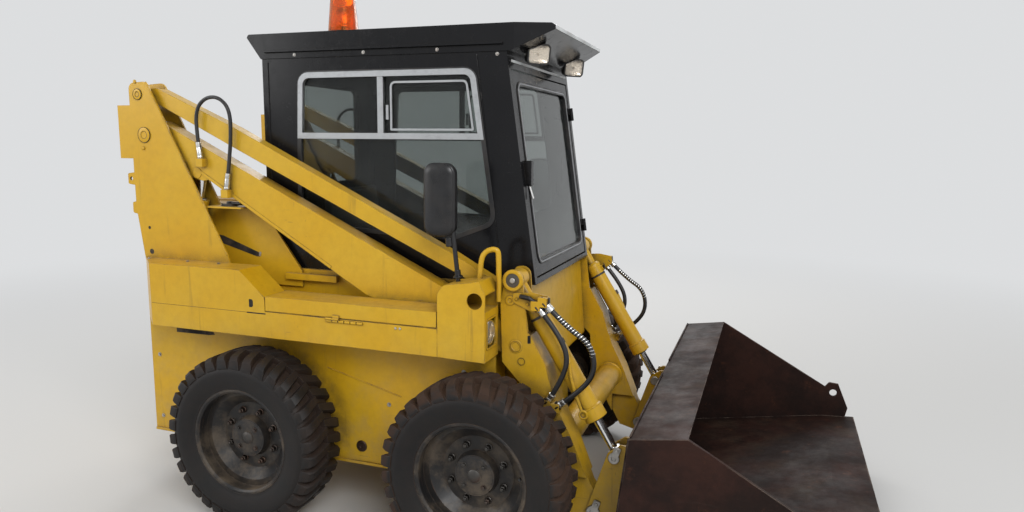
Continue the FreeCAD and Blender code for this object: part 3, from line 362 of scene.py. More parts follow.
def bucket_steel():
    """Dark worn steel: brown oxide in patches, faint rubbed streaks, bright cut edges and painted shade in
    corners.
    """
    f = Finish("bucket_steel")
    base = f.mix(f.cloud(0.36, 0.66, 3.2, 8, 0.72), (0.014, 0.0075, 0.006), (0.034, 0.014, 0.010))
    base = f.mix(f.cloud(0.56, 0.74, 13, 8, 0.75, shift=(2, 5, 1)), base, (0.062, 0.024, 0.013))
    rubbed = f.cloud(0.58, 0.76, 4, 6, 0.75, stretch=(1.2, 5, 14))
    base = f.mix(f.times(rubbed, 0.20), base, (0.075, 0.052, 0.042))
    dust = f.times(f.between(f.part(f.normal, 2), 0.1, 0.9), f.cloud(0.45, 0.72, 6, 6))
    base = f.mix(f.times(dust, 0.07), base, DUST)
    # Painted shade: corners darkened by ambient occlusion.
    base = f.mix(f.times(f.corners(0.12), 0.6), base, (0.010, 0.006, 0.005))
    edge = f.times(f.edges(0.004), f.cloud(0.40, 0.62, 12, 5))
    base = f.mix(f.times(edge, 0.6), base, (0.26, 0.20, 0.16))
    f.set(base_color=base, roughness=f.cloud(0.3, 0.7, 5, 6, 0.7, out=(0.48, 0.78)))
    f.set(metallic=f.between(edge, 0, 1, 0.0, 0.5), specular_ior_level=0.14)
    pits = f.math("ADD", f.times(f.noise(9, 8, 0.75), 0.7), f.times(rubbed, 0.3))
    f.bump(pits, 0.40, 0.004, 0.003)
    return f.material


def tyre_rubber(name, tread_dust):
    """Dusty rubber; the piece's own origin is on its axle, so that its dust follows the radius."""
    f = Finish(name)
    squares = [f.math("POWER", f.math("ABSOLUTE", f.part(f.place, axis)), 2.0) for axis in (0, 2)]
    radius = f.math("SQRT", f.math("ADD", *squares))
    tread = f.between(radius, 0.318, 0.345)
    dusty = f.times(f.cloud(0.30, 0.62, 9, 8, 0.72), f.between(tread, 0, 1, 0.09, tread_dust))
    base = f.mix(f.cloud(0.3, 0.7, 3, 3), (0.0055, 0.0055, 0.006), (0.010, 0.0098, 0.0095))
    base = f.mix(dusty, base, (0.060, 0.032, 0.020))
    base = f.mix(f.times(f.corners(0.035), tread_dust), base, (0.080, 0.044, 0.027))
    edge = f.times(f.edges(0.004), f.cloud(0.3, 0.6, 20, 5))
    base = f.mix(f.times(edge, 0.3), base, (0.06, 0.052, 0.048))
    f.set(base_color=base, roughness=f.between(dusty, 0, 0.7, 0.55, 0.92), specular_ior_level=0.3)
    rings = f.times(f.math("SINE", f.times(radius, 900.0)), f.between(radius, 0.30, 0.285))
    f.bump(f.math("ADD", f.times(rings, 0.35), f.times(f.noise(70, 6, 0.7), 0.6)), 0.5, 0.002)
    return f.material


def glass():
    """Clear tinted pane with a thin film of dust that thickens towards its lower edge."""
    f = Finish("dusty_glass")
    film = f.math("ADD", f.cloud(0.40, 0.75, 4, 6, 0.65, out=(0.0, 0.05)),
                  f.between(f.part(f.place, 2), 1.42, 1.20, 0.0, 0.07))
    f.set(base_color=f.mix(film, (0.38, 0.41, 0.40), (0.40, 0.35, 0.28)), ior=1.30)
    f.set(roughness=f.between(film, 0.0, 0.2, 0.01, 0.30))
    f.set(transmission_weight=f.between(film, 0.01, 0.25, 0.98, 0.60))
    f.bump(f.noise(3, 2), 0.05, 0.001)
    return f.material


def moulded(name, colour, rough, grain=90.0, depth=0.3, dusty=0.5):
    """Moulded plastic or rubber: fine grain, dusty patches and rubbed edges."""
    f = Finish(name)
    base = f.mix(f.cloud(0.35, 0.7, 5, 5), colour, shade(colour, 1.5, 0.006))
    upward = f.between(f.part(f.normal, 2), -0.6, 0.9, 0.2 * dusty, dusty)
    base = f.mix(f.times(f.cloud(0.42, 0.7, 12, 7, 0.7), upward), base, DUST)
    base = f.mix(f.times(f.edges(0.002), 0.35), base, shade(colour, 3, 0.05))
    f.set(base_color=base, roughness=f.cloud(0.3, 0.7, 14, 4, out=(rough, min(rough + 0.25, 1.0))))
    f.bump(f.noise(grain, 4, 0.65), depth, 0.001)
    return f.material


def lens(name, colour, clear, rib=0.25, dirt=0.4):
    """Coloured moulded lens with fine ribs."""
    f = Finish(name)
    ribs = f.math("SINE", f.times(f.math("ABSOLUTE", f.part(f.place, 2)), 620.0))
    grime_and_shade = f.cloud(0.45, 0.72, 9, 5, out=(0.0, dirt))
    f.set(base_color=f.mix(grime_and_shade, colour, shade(colour, 0.45, 0.01)), transmission_weight=clear, ior=1.49)
    f.set(roughness=f.between(grime_and_shade, 0, 0.4, 0.06, 0.5))
    f.bump(ribs, rib, 0.001)
    return f.material


def cast_iron():
    f = Finish("cast_engine")
    base = f.mix(f.cloud(0.35, 0.65, 7, 7, 0.7), (0.10, 0.11, 0.11), (0.055, 0.052, 0.048))
    base = f.mix(f.times(f.cloud(0.5, 0.66, 15, 6), 0.6), base, RUST)
    # Painted shade: corners darkened by ambient occlusion.
    base = f.mix(f.times(f.corners(0.08), 0.7), base, (0.012, 0.010, 0.008))
    f.set(base_color=base, metallic=0.35, roughness=f.cloud(0.3, 0.7, 11, 5, out=(0.4, 0.8)))
    f.bump(f.noise(45, 8, 0.75), 0.6, 0.002)
    return f.material


def vinyl():
    """Seat cover: fine leather grain, sheen on worn places and dust in its folds."""
    f = Finish("seat_vinyl")
    cells = f.node("ShaderNodeTexVoronoi", feature="DISTANCE_TO_EDGE")
    f.feed(cells.inputs["Vector"], f.place)
    cells.inputs["Scale"].default_value = 320.0
    base = f.mix(f.cloud(0.3, 0.7, 6, 5), (0.022, 0.021, 0.021), (0.045, 0.042, 0.040))
    base = f.mix(f.times(f.corners(0.03), 0.45), base, DUST)
    f.set(base_color=base, roughness=f.cloud(0.3, 0.7, 8, 4, out=(0.38, 0.62)))
    f.bump(f.between(cells.outputs[0], 0.0, 0.12), 0.35, 0.0008)
    return f.material


YELLOW = painted("yellow_paint", (0.60, 0.335, 0.008), (0.62, 0.375, 0.020), (0.10, 0.058, 0.034),
                 0.32, 0.8, 0.28, 0.85)
BLACK = painted("black_paint", (0.005, 0.005, 0.006), (0.009, 0.009, 0.010), (0.08, 0.075, 0.07),
                0.18, 0.25, 0.08, 0.2, 0.20, 0.10)
RIM_BLACK = painted("rim_black", (0.011, 0.011, 0.012), (0.020, 0.019, 0.019), (0.09, 0.05, 0.03),
                    0.38, 0.6, 0.28, 0.5, 0.3)
BLUE = painted("blue_filter", (0.03, 0.09, 0.22), (0.05, 0.13, 0.27), BARE_STEEL, 0.35, 0.4, 0.4, 0.4)
BUCKET = bucket_steel()
CHROME = metal("bright_rod", (0.80, 0.81, 0.82), 0.20, 0.0, 0.01, 0.06, 0.0)
STEEL = metal("pin_steel", (0.52, 0.50, 0.47), 0.34, 0.35, 0.2)
ZINC = metal("zinc_fitting", (0.72, 0.72, 0.70), 0.24, 0.08, 0.1)
ALUMINIUM = metal("aluminium_frame", (0.42, 0.43, 0.44), 0.42, 0.0, 0.2, 0.4)
MIRROR_GLASS = metal("mirror_glass", (0.90, 0.92, 0.93), 0.03, 0.0, 0.02)
PORT_STEEL = metal("port_steel", (0.055, 0.052, 0.050), 0.34, 0.3, 0.15)
WHEEL_STEEL = metal("wheel_steel", (0.09, 0.085, 0.08), 0.36, 0.4, 0.15)
RECESS = metal("recess_steel", (0.14, 0.135, 0.12), 0.30, 0.3, 0.15)
REFLECTOR = metal("lamp_reflector", (0.95, 0.92, 0.87), 0.24, 0.0, 0.05, 0.3, 0.0)
TYRE_FRONT = tyre_rubber("tyre_rubber_front", 0.75)
TYRE_REAR = tyre_rubber("tyre_rubber_rear", 0.25)
HOSE = moulded("hose_rubber", (0.006, 0.006, 0.007), 0.34, 140.0, 0.25, 0.10)
SEAL = moulded("rubber_seal", (0.008, 0.008, 0.009), 0.30, 80.0, 0.12, 0.15)
PLASTIC = moulded("dark_plastic", (0.010, 0.010, 0.011), 0.40, 90.0, 0.25, 0.35)
MIRROR_BLACK = moulded("mirror_black", (0.004, 0.004, 0.005), 0.22, 60.0, 0.1, 0.05)
# Near-black finish: sheets over holes and slots paint the shade inside them, and the same finish draws dark
# seams and rings.
SHADE_AND_DARK_MARKS = moulded("painted_shade_and_dark_marks", (0.006, 0.006, 0.006), 0.9)
# Pale grey strips on the black cab; the gutter strip's grey paints a highlight on the black paint.
PALE_TRIM_AND_HIGHLIGHT = moulded("light_trim", (0.42, 0.43, 0.43), 0.5)
AMBER = lens("amber_lens", (1.0, 0.30, 0.02), 0.92, 0.04, 0.12)
RED = lens("red_lens", (0.50, 0.018, 0.012), 0.25)
CLEAR = lens("lamp_lens", (0.98, 0.93, 0.86), 0.92)
GLASS = glass()
ENGINE = cast_iron()
VINYL = vinyl()


# Mesh pieces


def rect(a0, b0, a1, b1, *radius):
    """A rectangle's outline; a radius rounds its corners."""
    return [(a0, b0, *radius), (a1, b0, *radius), (a1, b1, *radius), (a0, b1, *radius)]


def rounded(points, steps=5):
    """A closed outline whose (a, b, radius) corners become arcs."""
    outline = []
    for i, point in enumerate(points):
        here = Vector(point[:2])
        radius = point[2] if len(point) > 2 else 0.0
        if not radius:
            outline.append((here.x, here.y))
            continue
        back = (Vector(points[i - 1][:2]) - here).normalized()
        ahead = (Vector(points[(i + 1) % len(points)][:2]) - here).normalized()
        half = back.angle(ahead) / 2
        centre = here + (back + ahead).normalized() * radius / math.sin(half)
        first = here + back * radius / math.tan(half) - centre
        last = here + ahead * radius / math.tan(half) - centre
        start = math.atan2(first.y, first.x)
        turn = (math.atan2(last.y, last.x) - start + math.pi) % (2 * math.pi) - math.pi
        for k in range(steps + 1):
            angle = start + turn * k / steps
            outline.append((centre.x + radius * math.cos(angle), centre.y + radius * math.sin(angle)))
    return outline


def inset(points, distance):
    """The closed outline drawn in by a distance, with its radii made smaller by as much."""
    flat = [Vector(p[:2]) for p in points]
    area = sum(a.x * b.y - b.x * a.y for a, b in zip(flat, flat[1:] + flat[:1]))
    inward = 1.0 if area > 0 else -1.0
    result = []
    for i, here in enumerate(flat):
        back, ahead = here - flat[i - 1], flat[(i + 1) % len(flat)] - here
        back.normalize()
        ahead.normalize()
        n1 = Vector((-back.y, back.x)) * inward
        n2 = Vector((-ahead.y, ahead.x)) * inward
        spot = here + (n1 + n2) * distance / (1 + n1.dot(n2))
        radius = points[i][2] if len(points[i]) > 2 else 0.0
        result.append((spot.x, spot.y, max(radius - distance, 1.0)) if radius else (spot.x, spot.y))
    return result


class Piece:
    """Forms of one material on one body, gathered into one mesh; with both=True its mirror image too."""

    def __init__(self, name, body, finish, slot, both=False, bevel=1.0, origin=None):
        self.name, self.body, self.finish, self.slot = name, body, finish, slot
        self.both, self.bevel = both, bevel
        self.origin = origin or Vector((0, 0, 0))
        self.mesh = bmesh.new()

    def loft(self, rings, loop=False, caps=(True, True)):
        rows = [[self.mesh.verts.new(p) for p in ring] for ring in rings]
        pairs = list(zip(rows, rows[1:])) + ([(rows[-1], rows[0])] if loop else [])
        for first, second in pairs:
            for i in range(len(first)):
                j = (i + 1) % len(first)
                self.mesh.faces.new((first[i], first[j], second[j], second[i]))
        if caps[0] and not loop:
            self.mesh.faces.new(tuple(reversed(rows[0])))
        if caps[1] and not loop:
            self.mesh.faces.new(tuple(rows[-1]))

    def side(self, points, y0, y1):
        """A plate drawn as (x, z) and thick along Y."""
        self.loft([[P(a, y, b) for a, b in rounded(points)] for y in (y0, y1)])

    def front(self, points, x0, x1, lean=0.0):
        """A plate drawn as (y, z) and thick along X; lean moves it back with height above DECK_Z."""
        flat = rounded(points)
        self.loft([[P(x - lean * (b - DECK_Z), a, b) for a, b in flat] for x in (x0, x1)])

    def box(self, x0, x1, y0, y1, z0, z1):
        self.side(rect(x0, z0, x1, z1), y0, y1)

    def frame_side(self, outer, inner, y0, y1):
        """A flat frame between two outlines of the same number of points, drawn as (x, z)."""
        out, inn = rounded(outer), rounded(inner)
        rings = [[P(a, y0, b) for a, b in out], [P(a, y1, b) for a, b in out],
                 [P(a, y1, b) for a, b in inn], [P(a, y0, b) for a, b in inn]]
        self.loft(rings, loop=True)

    def frame_front(self, outer, inner, x0, x1, lean=0.0):
        out, inn = rounded(outer), rounded(inner)
        rings = []
        for flat, x in ((out, x0), (out, x1), (inn, x1), (inn, x0)):
            rings.append([P(x - lean * (b - DECK_Z), a, b) for a, b in flat])
        self.loft(rings, loop=True)

    def turned(self, centre, axis, profile, sides=28, loop=False, caps=(True, True)):
        """A form turned about an axis; the profile is (radius, distance along the axis)."""
        axis = Vector(axis).normalized()
        across = axis.orthogonal().normalized()
        other = axis.cross(across)
        rings = []
        for radius, along in profile:
            ring = []
            for i in range(sides):
                angle = 2 * math.pi * i / sides
                way = across * math.cos(angle) + other * math.sin(angle)
                ring.append(P(*centre) + axis * along / 1000 + way * max(radius, 0.05) / 1000)
            rings.append(ring)
        self.loft(rings, loop, caps)

    def rod(self, start, end, radius, sides=20):
        length = (Vector(end) - Vector(start)).length
        self.turned(start, Vector(end) - Vector(start), [(radius, 0), (radius, length)], sides)

    def pipe(self, points, radius, sides=12):
        """A rigid pipe through (x, y, z) points with small mitred corners."""
        for start, end in zip(points, points[1:]):
            self.rod(start, end, radius, sides)
        for joint in points[1:-1]:
            arc = [(radius * math.sin(math.pi * k / 6), -radius * math.cos(math.pi * k / 6))
                   for k in range(7)]
            self.turned(joint, Z, arc, sides)

    def bolt(self, centre, axis, across=16.0):
        """Hexagon head on a washer."""
        self.turned(centre, axis, [(across * 0.95, 0), (across * 0.95, across * 0.14)], 18)
        self.turned(centre, axis,
                    [(across * 0.58, 0), (across * 0.58, across * 0.5), (across * 0.48, across * 0.62)], 6)

    def weld(self, start, end, radius=3.2):
        """A rippled bead from start to end."""
        way = Vector(end) - Vector(start)
        count = max(4, int(way.length / 5))
        profile = [(0.1, 0)]
        for k in range(1, count):
            profile.append((radius * (1.0 if k % 2 else 0.78), way.length * k / count))
        self.turned(start, way, profile + [(0.1, way.length)], 8)

    def place(self, matrix):
        """Moves what was drawn about the rear axle's foot by a turn and a shift in millimetres."""
        origin = Matrix.Translation(P(0, 0, 0))
        bmesh.ops.transform(self.mesh, matrix=origin @ matrix @ origin.inverted(), verts=self.mesh.verts)

    def cut(self, point, normal):
        """Takes away what lies beyond a plane and closes the cut."""
        mesh = self.mesh
        found = bmesh.ops.bisect_plane(mesh, geom=mesh.verts[:] + mesh.edges[:] + mesh.faces[:],
                                       plane_co=P(*point), plane_no=normal, clear_outer=True)
        bmesh.ops.edgenet_fill(mesh,
                               edges=[g for g in found["geom_cut"] if isinstance(g, bmesh.types.BMEdge)])

    def done(self):
        bmesh.ops.recalc_face_normals(self.mesh, faces=self.mesh.faces)
        if self.both:
            made = bmesh.ops.duplicate(self.mesh,
                                       geom=self.mesh.verts[:] + self.mesh.edges[:] + self.mesh.faces[:])
            for item in made["geom"]:
                if isinstance(item, bmesh.types.BMVert):
                    item.co.y = -item.co.y
            bmesh.ops.reverse_faces(self.mesh,
                                    faces=[g for g in made["geom"] if isinstance(g, bmesh.types.BMFace)])
        bmesh.ops.translate(self.mesh, verts=self.mesh.verts, vec=-self.origin)
        data = bpy.data.meshes.new(self.name)
        self.mesh.to_mesh(data)
        self.mesh.free()
        data.materials.append(self.finish)
        data.shade_smooth()
        data.set_sharp_from_angle(angle=math.radians(32))
        piece = bpy.data.objects.new(self.name, data)
        piece.location = self.origin
        bpy.context.scene.collection.objects.link(piece)
        if self.bevel:
            soft = piece.modifiers.new("edges", "BEVEL")
            soft.width = self.bevel / 1000
            soft.segments = 2
            soft.limit_method = "ANGLE"
            soft.angle_limit = math.radians(40)
            soft.harden_normals = True
        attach(piece, self.body)
        return piece


# Hoses


def nurbs(name, points, radius=0.0, steps=16):
    """A smooth curve over points in millimetres; a radius in metres makes it round and solid."""
    curve = bpy.data.curves.new(name, "CURVE")
    curve.dimensions = "3D"
    curve.resolution_u = steps
    if radius:
        curve.bevel_depth = radius
        curve.bevel_resolution = 5
        curve.use_fill_caps = True
    spline = curve.splines.new("NURBS")
    spline.points.add(len(points) - 1)
    for point, place in zip(spline.points, points):
        point.co = (*P(*place), 1.0)
    spline.order_u = 3
    spline.use_endpoint_u = True
    return curve


def tube(name, body, finish, points, radius):
    """A round bar or hose on its body."""
    curve = nurbs(name, points, radius)
    curve.materials.append(finish)
    piece = add(name, curve)
    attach(piece, body)
    return piece


def hose(name, body, route, y, diameter):
    """Free hose on its route, in place of its plain solid."""
    for side, sign in SIDES:
        points = [(x, sign * y, z) for x, z in route]
        piece = tube("hose_" + name + "_" + side, body, HOSE, points, diameter / 2000)
        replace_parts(piece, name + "_" + side)


hose("tilt_hose_a", "front_frame", TILT_HOSE_A, TILT_HOSE_Y, 20.0)
hose("tilt_hose_b", "front_frame", TILT_HOSE_B, TILT_HOSE_Y, 20.0)
hose("arm_hose", "lift_arms", ARM_HOSE_LOOP, ARM_HOSE_Y, 16.0)


# Wheels


def tyre(end, side):
    """Moulded tyre: beads, sidewalls and two rows of slanting lugs that run down the shoulders."""
    sign = 1 if side == "left" else -1
    x = WHEELBASE if end == "front" else 0.0
    centre = (x, sign * TYRE_MIDDLE_Y, TYRE_R)
    name = "tyre_" + end + "_" + side
    piece = Piece("moulded_" + name, "wheel_" + end + "_" + side,
                  TYRE_FRONT if end == "front" else TYRE_REAR,
                  "tyre_rubber", bevel=2.5, origin=P(*centre))
    half = [(RIM_R - 1, 90), (RIM_R + 5, 97), (RIM_R + 12, 98), (RIM_R + 18, 101), (RIM_R + 34, 106),
            (RIM_R + 55, 111), (RIM_R + 72, 113), (RIM_R + 78, 113.5), (RIM_R + 84, 112), (RIM_R + 92, 110),
            (330, 101), (340, 88), (346, 62), (348, 30), (348, 0)]
    profile = [(r, -w) for r, w in half] + [(r, w) for r, w in reversed(half[:-1])]
    piece.turned(centre, Y, profile, 96, loop=True)
    stations = [(-6, 371, 18, 0), (30, 371.5, 19, 0.3), (66, 371, 20, 0.62), (92, 367, 21, 0.84),
                (106, 355, 21.5, 0.95), (112.5, 330, 22, 1.0)]
    lean = 34.0
    axle = Vector(centre)
    for row in (-1, 1):
        for i in range(LUGS_PER_ROW):
            turn = 2 * math.pi * (i + (0.5 if row > 0 else 0.0)) / LUGS_PER_ROW
            rings = []
            for across, top, wide, way in stations:
                ring = []
                for r, w in ((318, wide + 3), (top - 9, wide + 1), (top, wide - 4),
                             (top, -wide + 4), (top - 9, -wide - 1), (318, -wide - 3)):
                    angle = turn + (w + lean * way) / r
                    r_here = min(r, top)
                    spot = (axle.x + r_here * math.sin(angle), axle.y + sign * row * across,
                            axle.z + r_here * math.cos(angle))
                    ring.append(P(*spot))
                rings.append(ring)
            piece.loft(rings)
    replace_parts(piece.done(), name)


def wheel_trim(end, side):
    """Nuts, hub, rim lip and valve on one wheel."""
    sign = 1 if side == "left" else -1
    x = WHEELBASE if end == "front" else 0.0
    body = "wheel_" + end + "_" + side
    centre = Vector((x, sign * TYRE_MIDDLE_Y, TYRE_R))
    out = (0, sign, 0)
    lip = Piece("rim_lip_" + end + "_" + side, body, RIM_BLACK, "rim_black", bevel=0.6)
    loop = [(RIM_R - 16, 74), (RIM_R - 14, 90), (RIM_R - 6, 97), (RIM_R + 2, 97), (RIM_R + 5, 92),
            (RIM_R - 2, 91), (RIM_R - 9, 86), (RIM_R - 12, 74)]
    lip.turned(centre, out, loop, 64, loop=True)
    lip.turned(centre, out, [(82, 4), (84, 12), (80, 30), (74, 41), (60, 44), (30, 44)], 40)
    lip.done()
    nuts = Piece("wheel_nuts_" + end + "_" + side, body, WHEEL_STEEL, "pin_steel", bevel=0.5)
    for i in range(8):
        angle = 2 * math.pi * (i + 0.5) / 8
        spot = centre + Vector((115 * math.cos(angle), sign * 4, 115 * math.sin(angle)))
        nuts.turned(spot, out, [(15, 0), (15, 3), (12, 5)], 18)
        nuts.turned(spot, out, [(12, 4), (12, 18), (9, 21)], 6)
        nuts.turned(spot, out, [(6.5, 20), (6.5, 27), (5, 28)], 12)
    for i in range(4):
        angle = 2 * math.pi * (i + 0.5) / 4
        nuts.bolt(centre + Vector((56 * math.cos(angle), sign * 44, 56 * math.sin(angle))), out, 12)
    nuts.turned(centre, out, [(27, 40), (27, 45), (20, 50), (6, 51)], 24)
    nuts.done()
    valve = Piece("valve_" + end + "_" + side, body, SEAL, "dark_plastic", bevel=0.3)
    foot = centre + Vector((196, sign * 42, 30))
    valve.rod(foot, foot + Vector((-5, sign * 34, 0)), 5.5, 12)
    valve.done()


for END in ("front", "rear"):
    for SIDE in ("left", "right"):
        tyre(END, SIDE)
        wheel_trim(END, SIDE)


# Pins, cylinders and arm trim


def pin_head(piece, centre, y, radius, keeper_turn=None):
    """End of a pin: collar, centre bore and, where asked, a keeper plate with its bolt."""
    x, z = centre
    piece.turned((x, y, z), Y, [(radius, 0), (radius, 5), (radius - 2, 7), (radius * 0.45, 7),
                                        (radius * 0.40, 4), (1, 4)], 32)
    if keeper_turn is not None:
        way = Vector((math.cos(keeper_turn), 0, math.sin(keeper_turn)))
        end = Vector((x, y, z)) + way * (radius + 26)
        side = Vector((-way.z, 0, way.x)) * 13
        corners = [Vector((x, y, z)) + way * 6 + side, end + side, end - side,
                   Vector((x, y, z)) + way * 6 - side]
        piece.side([(c.x, c.z, 6) for c in corners], y, y + 9)
        piece.bolt(Vector((x, y + 9, z)) + way * (radius + 12), Y, 13)


def linkage_pins():
    rear = Piece("pin_ends_chassis", "chassis", YELLOW, "yellow_paint", both=True, bevel=0.8)
    for (x, z), radius in ((ARM_REAR, 34), (LINK_REAR, 24)):
        rear.turned((x, HULL_HALF, z), Y, [(radius, 0), (radius, 3), (radius - 2, 4), (radius * 0.5, 4),
                                                   (radius * 0.42, 2), (1, 2)], 32)
    for x, z in ((-674, 1571), (-700, 1866)):
        rear.turned((x, HULL_HALF, z), Y, [(9, 0), (9, 4), (6, 6)], 6)
    pin_head(rear, ARM_REAR, INNER_HALF - 8, 24)
    rear.done()
    # Thin dark rings round the painted pin ends and their bores.
    rings = Piece("pin_dark_rings", "chassis", SHADE_AND_DARK_MARKS, "dark_plastic", both=True, bevel=0)
    for (x, z), radius in ((ARM_REAR, 34), (LINK_REAR, 24)):
        for r in (radius + 0.8, radius * 0.5 + 0.6):
            rings.turned((x, HULL_HALF + 3.2, z), Y, [(r, -3.5), (r, 1.0), (r - 1.4, 1.0), (r - 1.4, -3.5)],
                         32, loop=True)
    rings.done()
    front = Piece("pin_ends_front", "front_frame", STEEL, "pin_steel", both=True, bevel=0.8)
    x, z = TILT_TOP
    front.turned((x, LEG_OUT + 9, z), Y, [(11, 0), (11, 6), (9, 8), (1, 8)], 24)
    front.done()
    recess = Piece("tilt_recess", "front_frame", RECESS, "pin_steel", both=True, bevel=0.4)
    recess.turned((x, LEG_OUT + 9, z), Y, [(27, 0), (27, 2.2), (1, 2.2)], 32)
    recess.done()
    boss = Piece("tilt_boss", "front_frame", YELLOW, "yellow_paint", both=True, bevel=1.2)
    boss.turned((x, LEG_OUT - 1, z), Y, [(42, 0), (42, 13), (39, 16), (29, 16), (27, 13), (27, 0)], 40,
                loop=True)
    pin_head(boss, LINK_FRONT, LEG_OUT - 3, 20)
    x, z = ARM_FRONT
    boss.turned((x, LEG_OUT, z), Y, [(27, 0), (27, 2), (25, 3), (17, 3), (15, 1.6), (1, 1.6)], 36)
    boss.done()
    bucket = Piece("pin_ends_bucket", "bucket", STEEL, "pin_steel", both=True, bevel=0.8)
    for centre, radius in ((BUCKET_PIVOT, 27), (TILT_EYE, 22)):
        pin_head(bucket, centre, ARM_Y + 50, radius, math.radians(70))
        x, z = centre
        bucket.turned((x, ARM_Y - 50, z), (0, -1, 0), [(radius, 0), (radius, 5), (radius - 3, 7)], 28)
    bucket.done()


def along(base, eye, distance, aside=0.0, y=ARM_Y):
    """A point at a distance from base towards eye, moved aside in side view; positive is forward or up."""
    way = (Vector(eye) - Vector(base)).normalized()
    spot = Vector(base) + way * distance + Vector((-way.y, way.x)) * aside
    return (spot.x, y, spot.y)


def cylinders():
    """Glands, ports, pipes and clips on the barrels, wiper rings and polished rods' ends."""
    tilt_way = Vector(TILT_EYE) - Vector(TILT_TOP)
    axis = (tilt_way.x, 0, tilt_way.y)
    body = Piece("tilt_barrel_trim", "tilt_barrels", YELLOW, "yellow_paint", both=True, bevel=1.0)
    body.turned(along(TILT_TOP, TILT_EYE, 118), axis, [(30, -14), (38.5, -3), (38.8, 2), (38.3, 14)], 36)
    body.turned(along(TILT_TOP, TILT_EYE, 566), axis, [(38, 0), (44, 5), (44, 8), (39, 10)], 36)
    gland = along(TILT_TOP, TILT_EYE, 580, -26, ARM_Y + 24)
    body.turned(gland, Y, [(20, 0), (20, 18), (17, 21), (11, 21), (11, 14), (1, 14)], 28)
    pipe_y = ARM_Y + 14
    run = [along(TILT_TOP, TILT_EYE, d, a, y) for d, a, y in
           ((300, 37, pipe_y), (380, 26, ARM_Y + 34), (430, 6, ARM_Y + 44), (500, -13, ARM_Y + 43),
            (566, -26, ARM_Y + 36))]
    body.pipe(run, 7)
    body.rod(along(TILT_TOP, TILT_EYE, 150, 30), along(TILT_TOP, TILT_EYE, 150, 46), 15)
    body.done()
    steel = Piece("tilt_barrel_pipe", "tilt_barrels", PORT_STEEL, "pin_steel", both=True, bevel=0.5)
    steel.rod(along(TILT_TOP, TILT_EYE, 150, 44), along(TILT_TOP, TILT_EYE, 150, 55), 12, 6)
    steel.turned(along(TILT_TOP, TILT_EYE, 298, 36, pipe_y), axis, [(11, -14), (11, 6), (8, 8)], 6)
    steel.turned(along(TILT_TOP, TILT_EYE, 620), axis, [(30, 0), (30, 5), (27, 7), (19, 7)], 36)
    steel.done()
    clips = Piece("tilt_barrel_clips", "tilt_barrels", SEAL, "dark_plastic", both=True, bevel=0.6)
    clips.turned(along(TILT_TOP, TILT_EYE, 168), axis, [(38, 0), (40, 1), (40, 9), (38, 10)], 36)
    clips.done()
    lift_way = Vector(LIFT_EYE) - Vector(LIFT_BASE)
    axis = (lift_way.x, 0, lift_way.y)
    lift = Piece("lift_barrel_trim", "lift_barrels", YELLOW, "yellow_paint", both=True, bevel=1.0)
    lift.turned(along(LIFT_BASE, LIFT_EYE, 590), axis, [(40, 0), (41.5, 1.5), (41.5, 6), (40, 8)], 36)
    lift.done()
    wiper = Piece("lift_wiper", "lift_barrels", ZINC, "pin_steel", both=True, bevel=0.5)
    wiper.turned(along(LIFT_BASE, LIFT_EYE, 640), axis, [(30, 0), (30, 5), (27, 7), (19, 7)], 36)
    wiper.done()


def arm_trim():
    """Edge strips, pin collars and hose end fittings on the arms."""
    arm = Piece("arm_strips", "lift_arms", YELLOW, "yellow_paint", both=True, bevel=1.0)
    low = [(332, 1046), (-450, 1505)]
    way = (Vector(low[1]) - Vector(low[0])).normalized()
    for y0, y1 in ((ARM_OUT, ARM_OUT + 2.4), (ARM_Y - 40.4, ARM_Y - 38)):
        start, end = Vector(low[0]) + way * 60, Vector(low[1]) - way * 60
        up = Vector((way.y, -way.x)) * 14
        if up.y < 0:
            up = -up
        arm.side([tuple(start), tuple(end), tuple(end + up), tuple(start + up)], y0, y1)
    for centre, radius in ((ARM_REAR, 58), (ARM_FRONT, 44)):
        arm.turned((centre[0], ARM_OUT, centre[1]), Y, [(radius, 0), (radius, 2), (radius - 3, 3), (22, 3)],
                   40)
    x, z = LIFT_EYE
    for y in (ARM_Y + 38, ARM_Y - 41):
        arm.turned((x, y, z), Y, [(24, 0), (24, 3), (16, 3)], 28)
    arm.done()
    fittings = Piece("arm_fittings", "lift_arms", ZINC, "pin_steel", both=True, bevel=0.5)
    for end in (0, -1):
        first, second = ARM_HOSE_LOOP[end], ARM_HOSE_LOOP[1 if end == 0 else -2]
        back = (Vector(first) - Vector(second)).normalized()
        at = (first[0], ARM_HOSE_Y, first[1])
        fittings.turned(at, (back.x, 0, back.y),
                        [(9, -56), (11.4, -54), (11.4, -34), (10.8, -32), (11.4, -30),
                                                  (11.8, -8), (12.2, 2), (11.4, 4), (12.2, 6), (12.2, 12)],
                                                  24)
        foot = (first[0] + back.x * 34, ARM_HOSE_Y, first[1] + back.y * 34)
        fittings.turned(foot, (back.x, 0, back.y), [(14, -20), (14, -8), (12, -6)], 6)
    fittings.done()


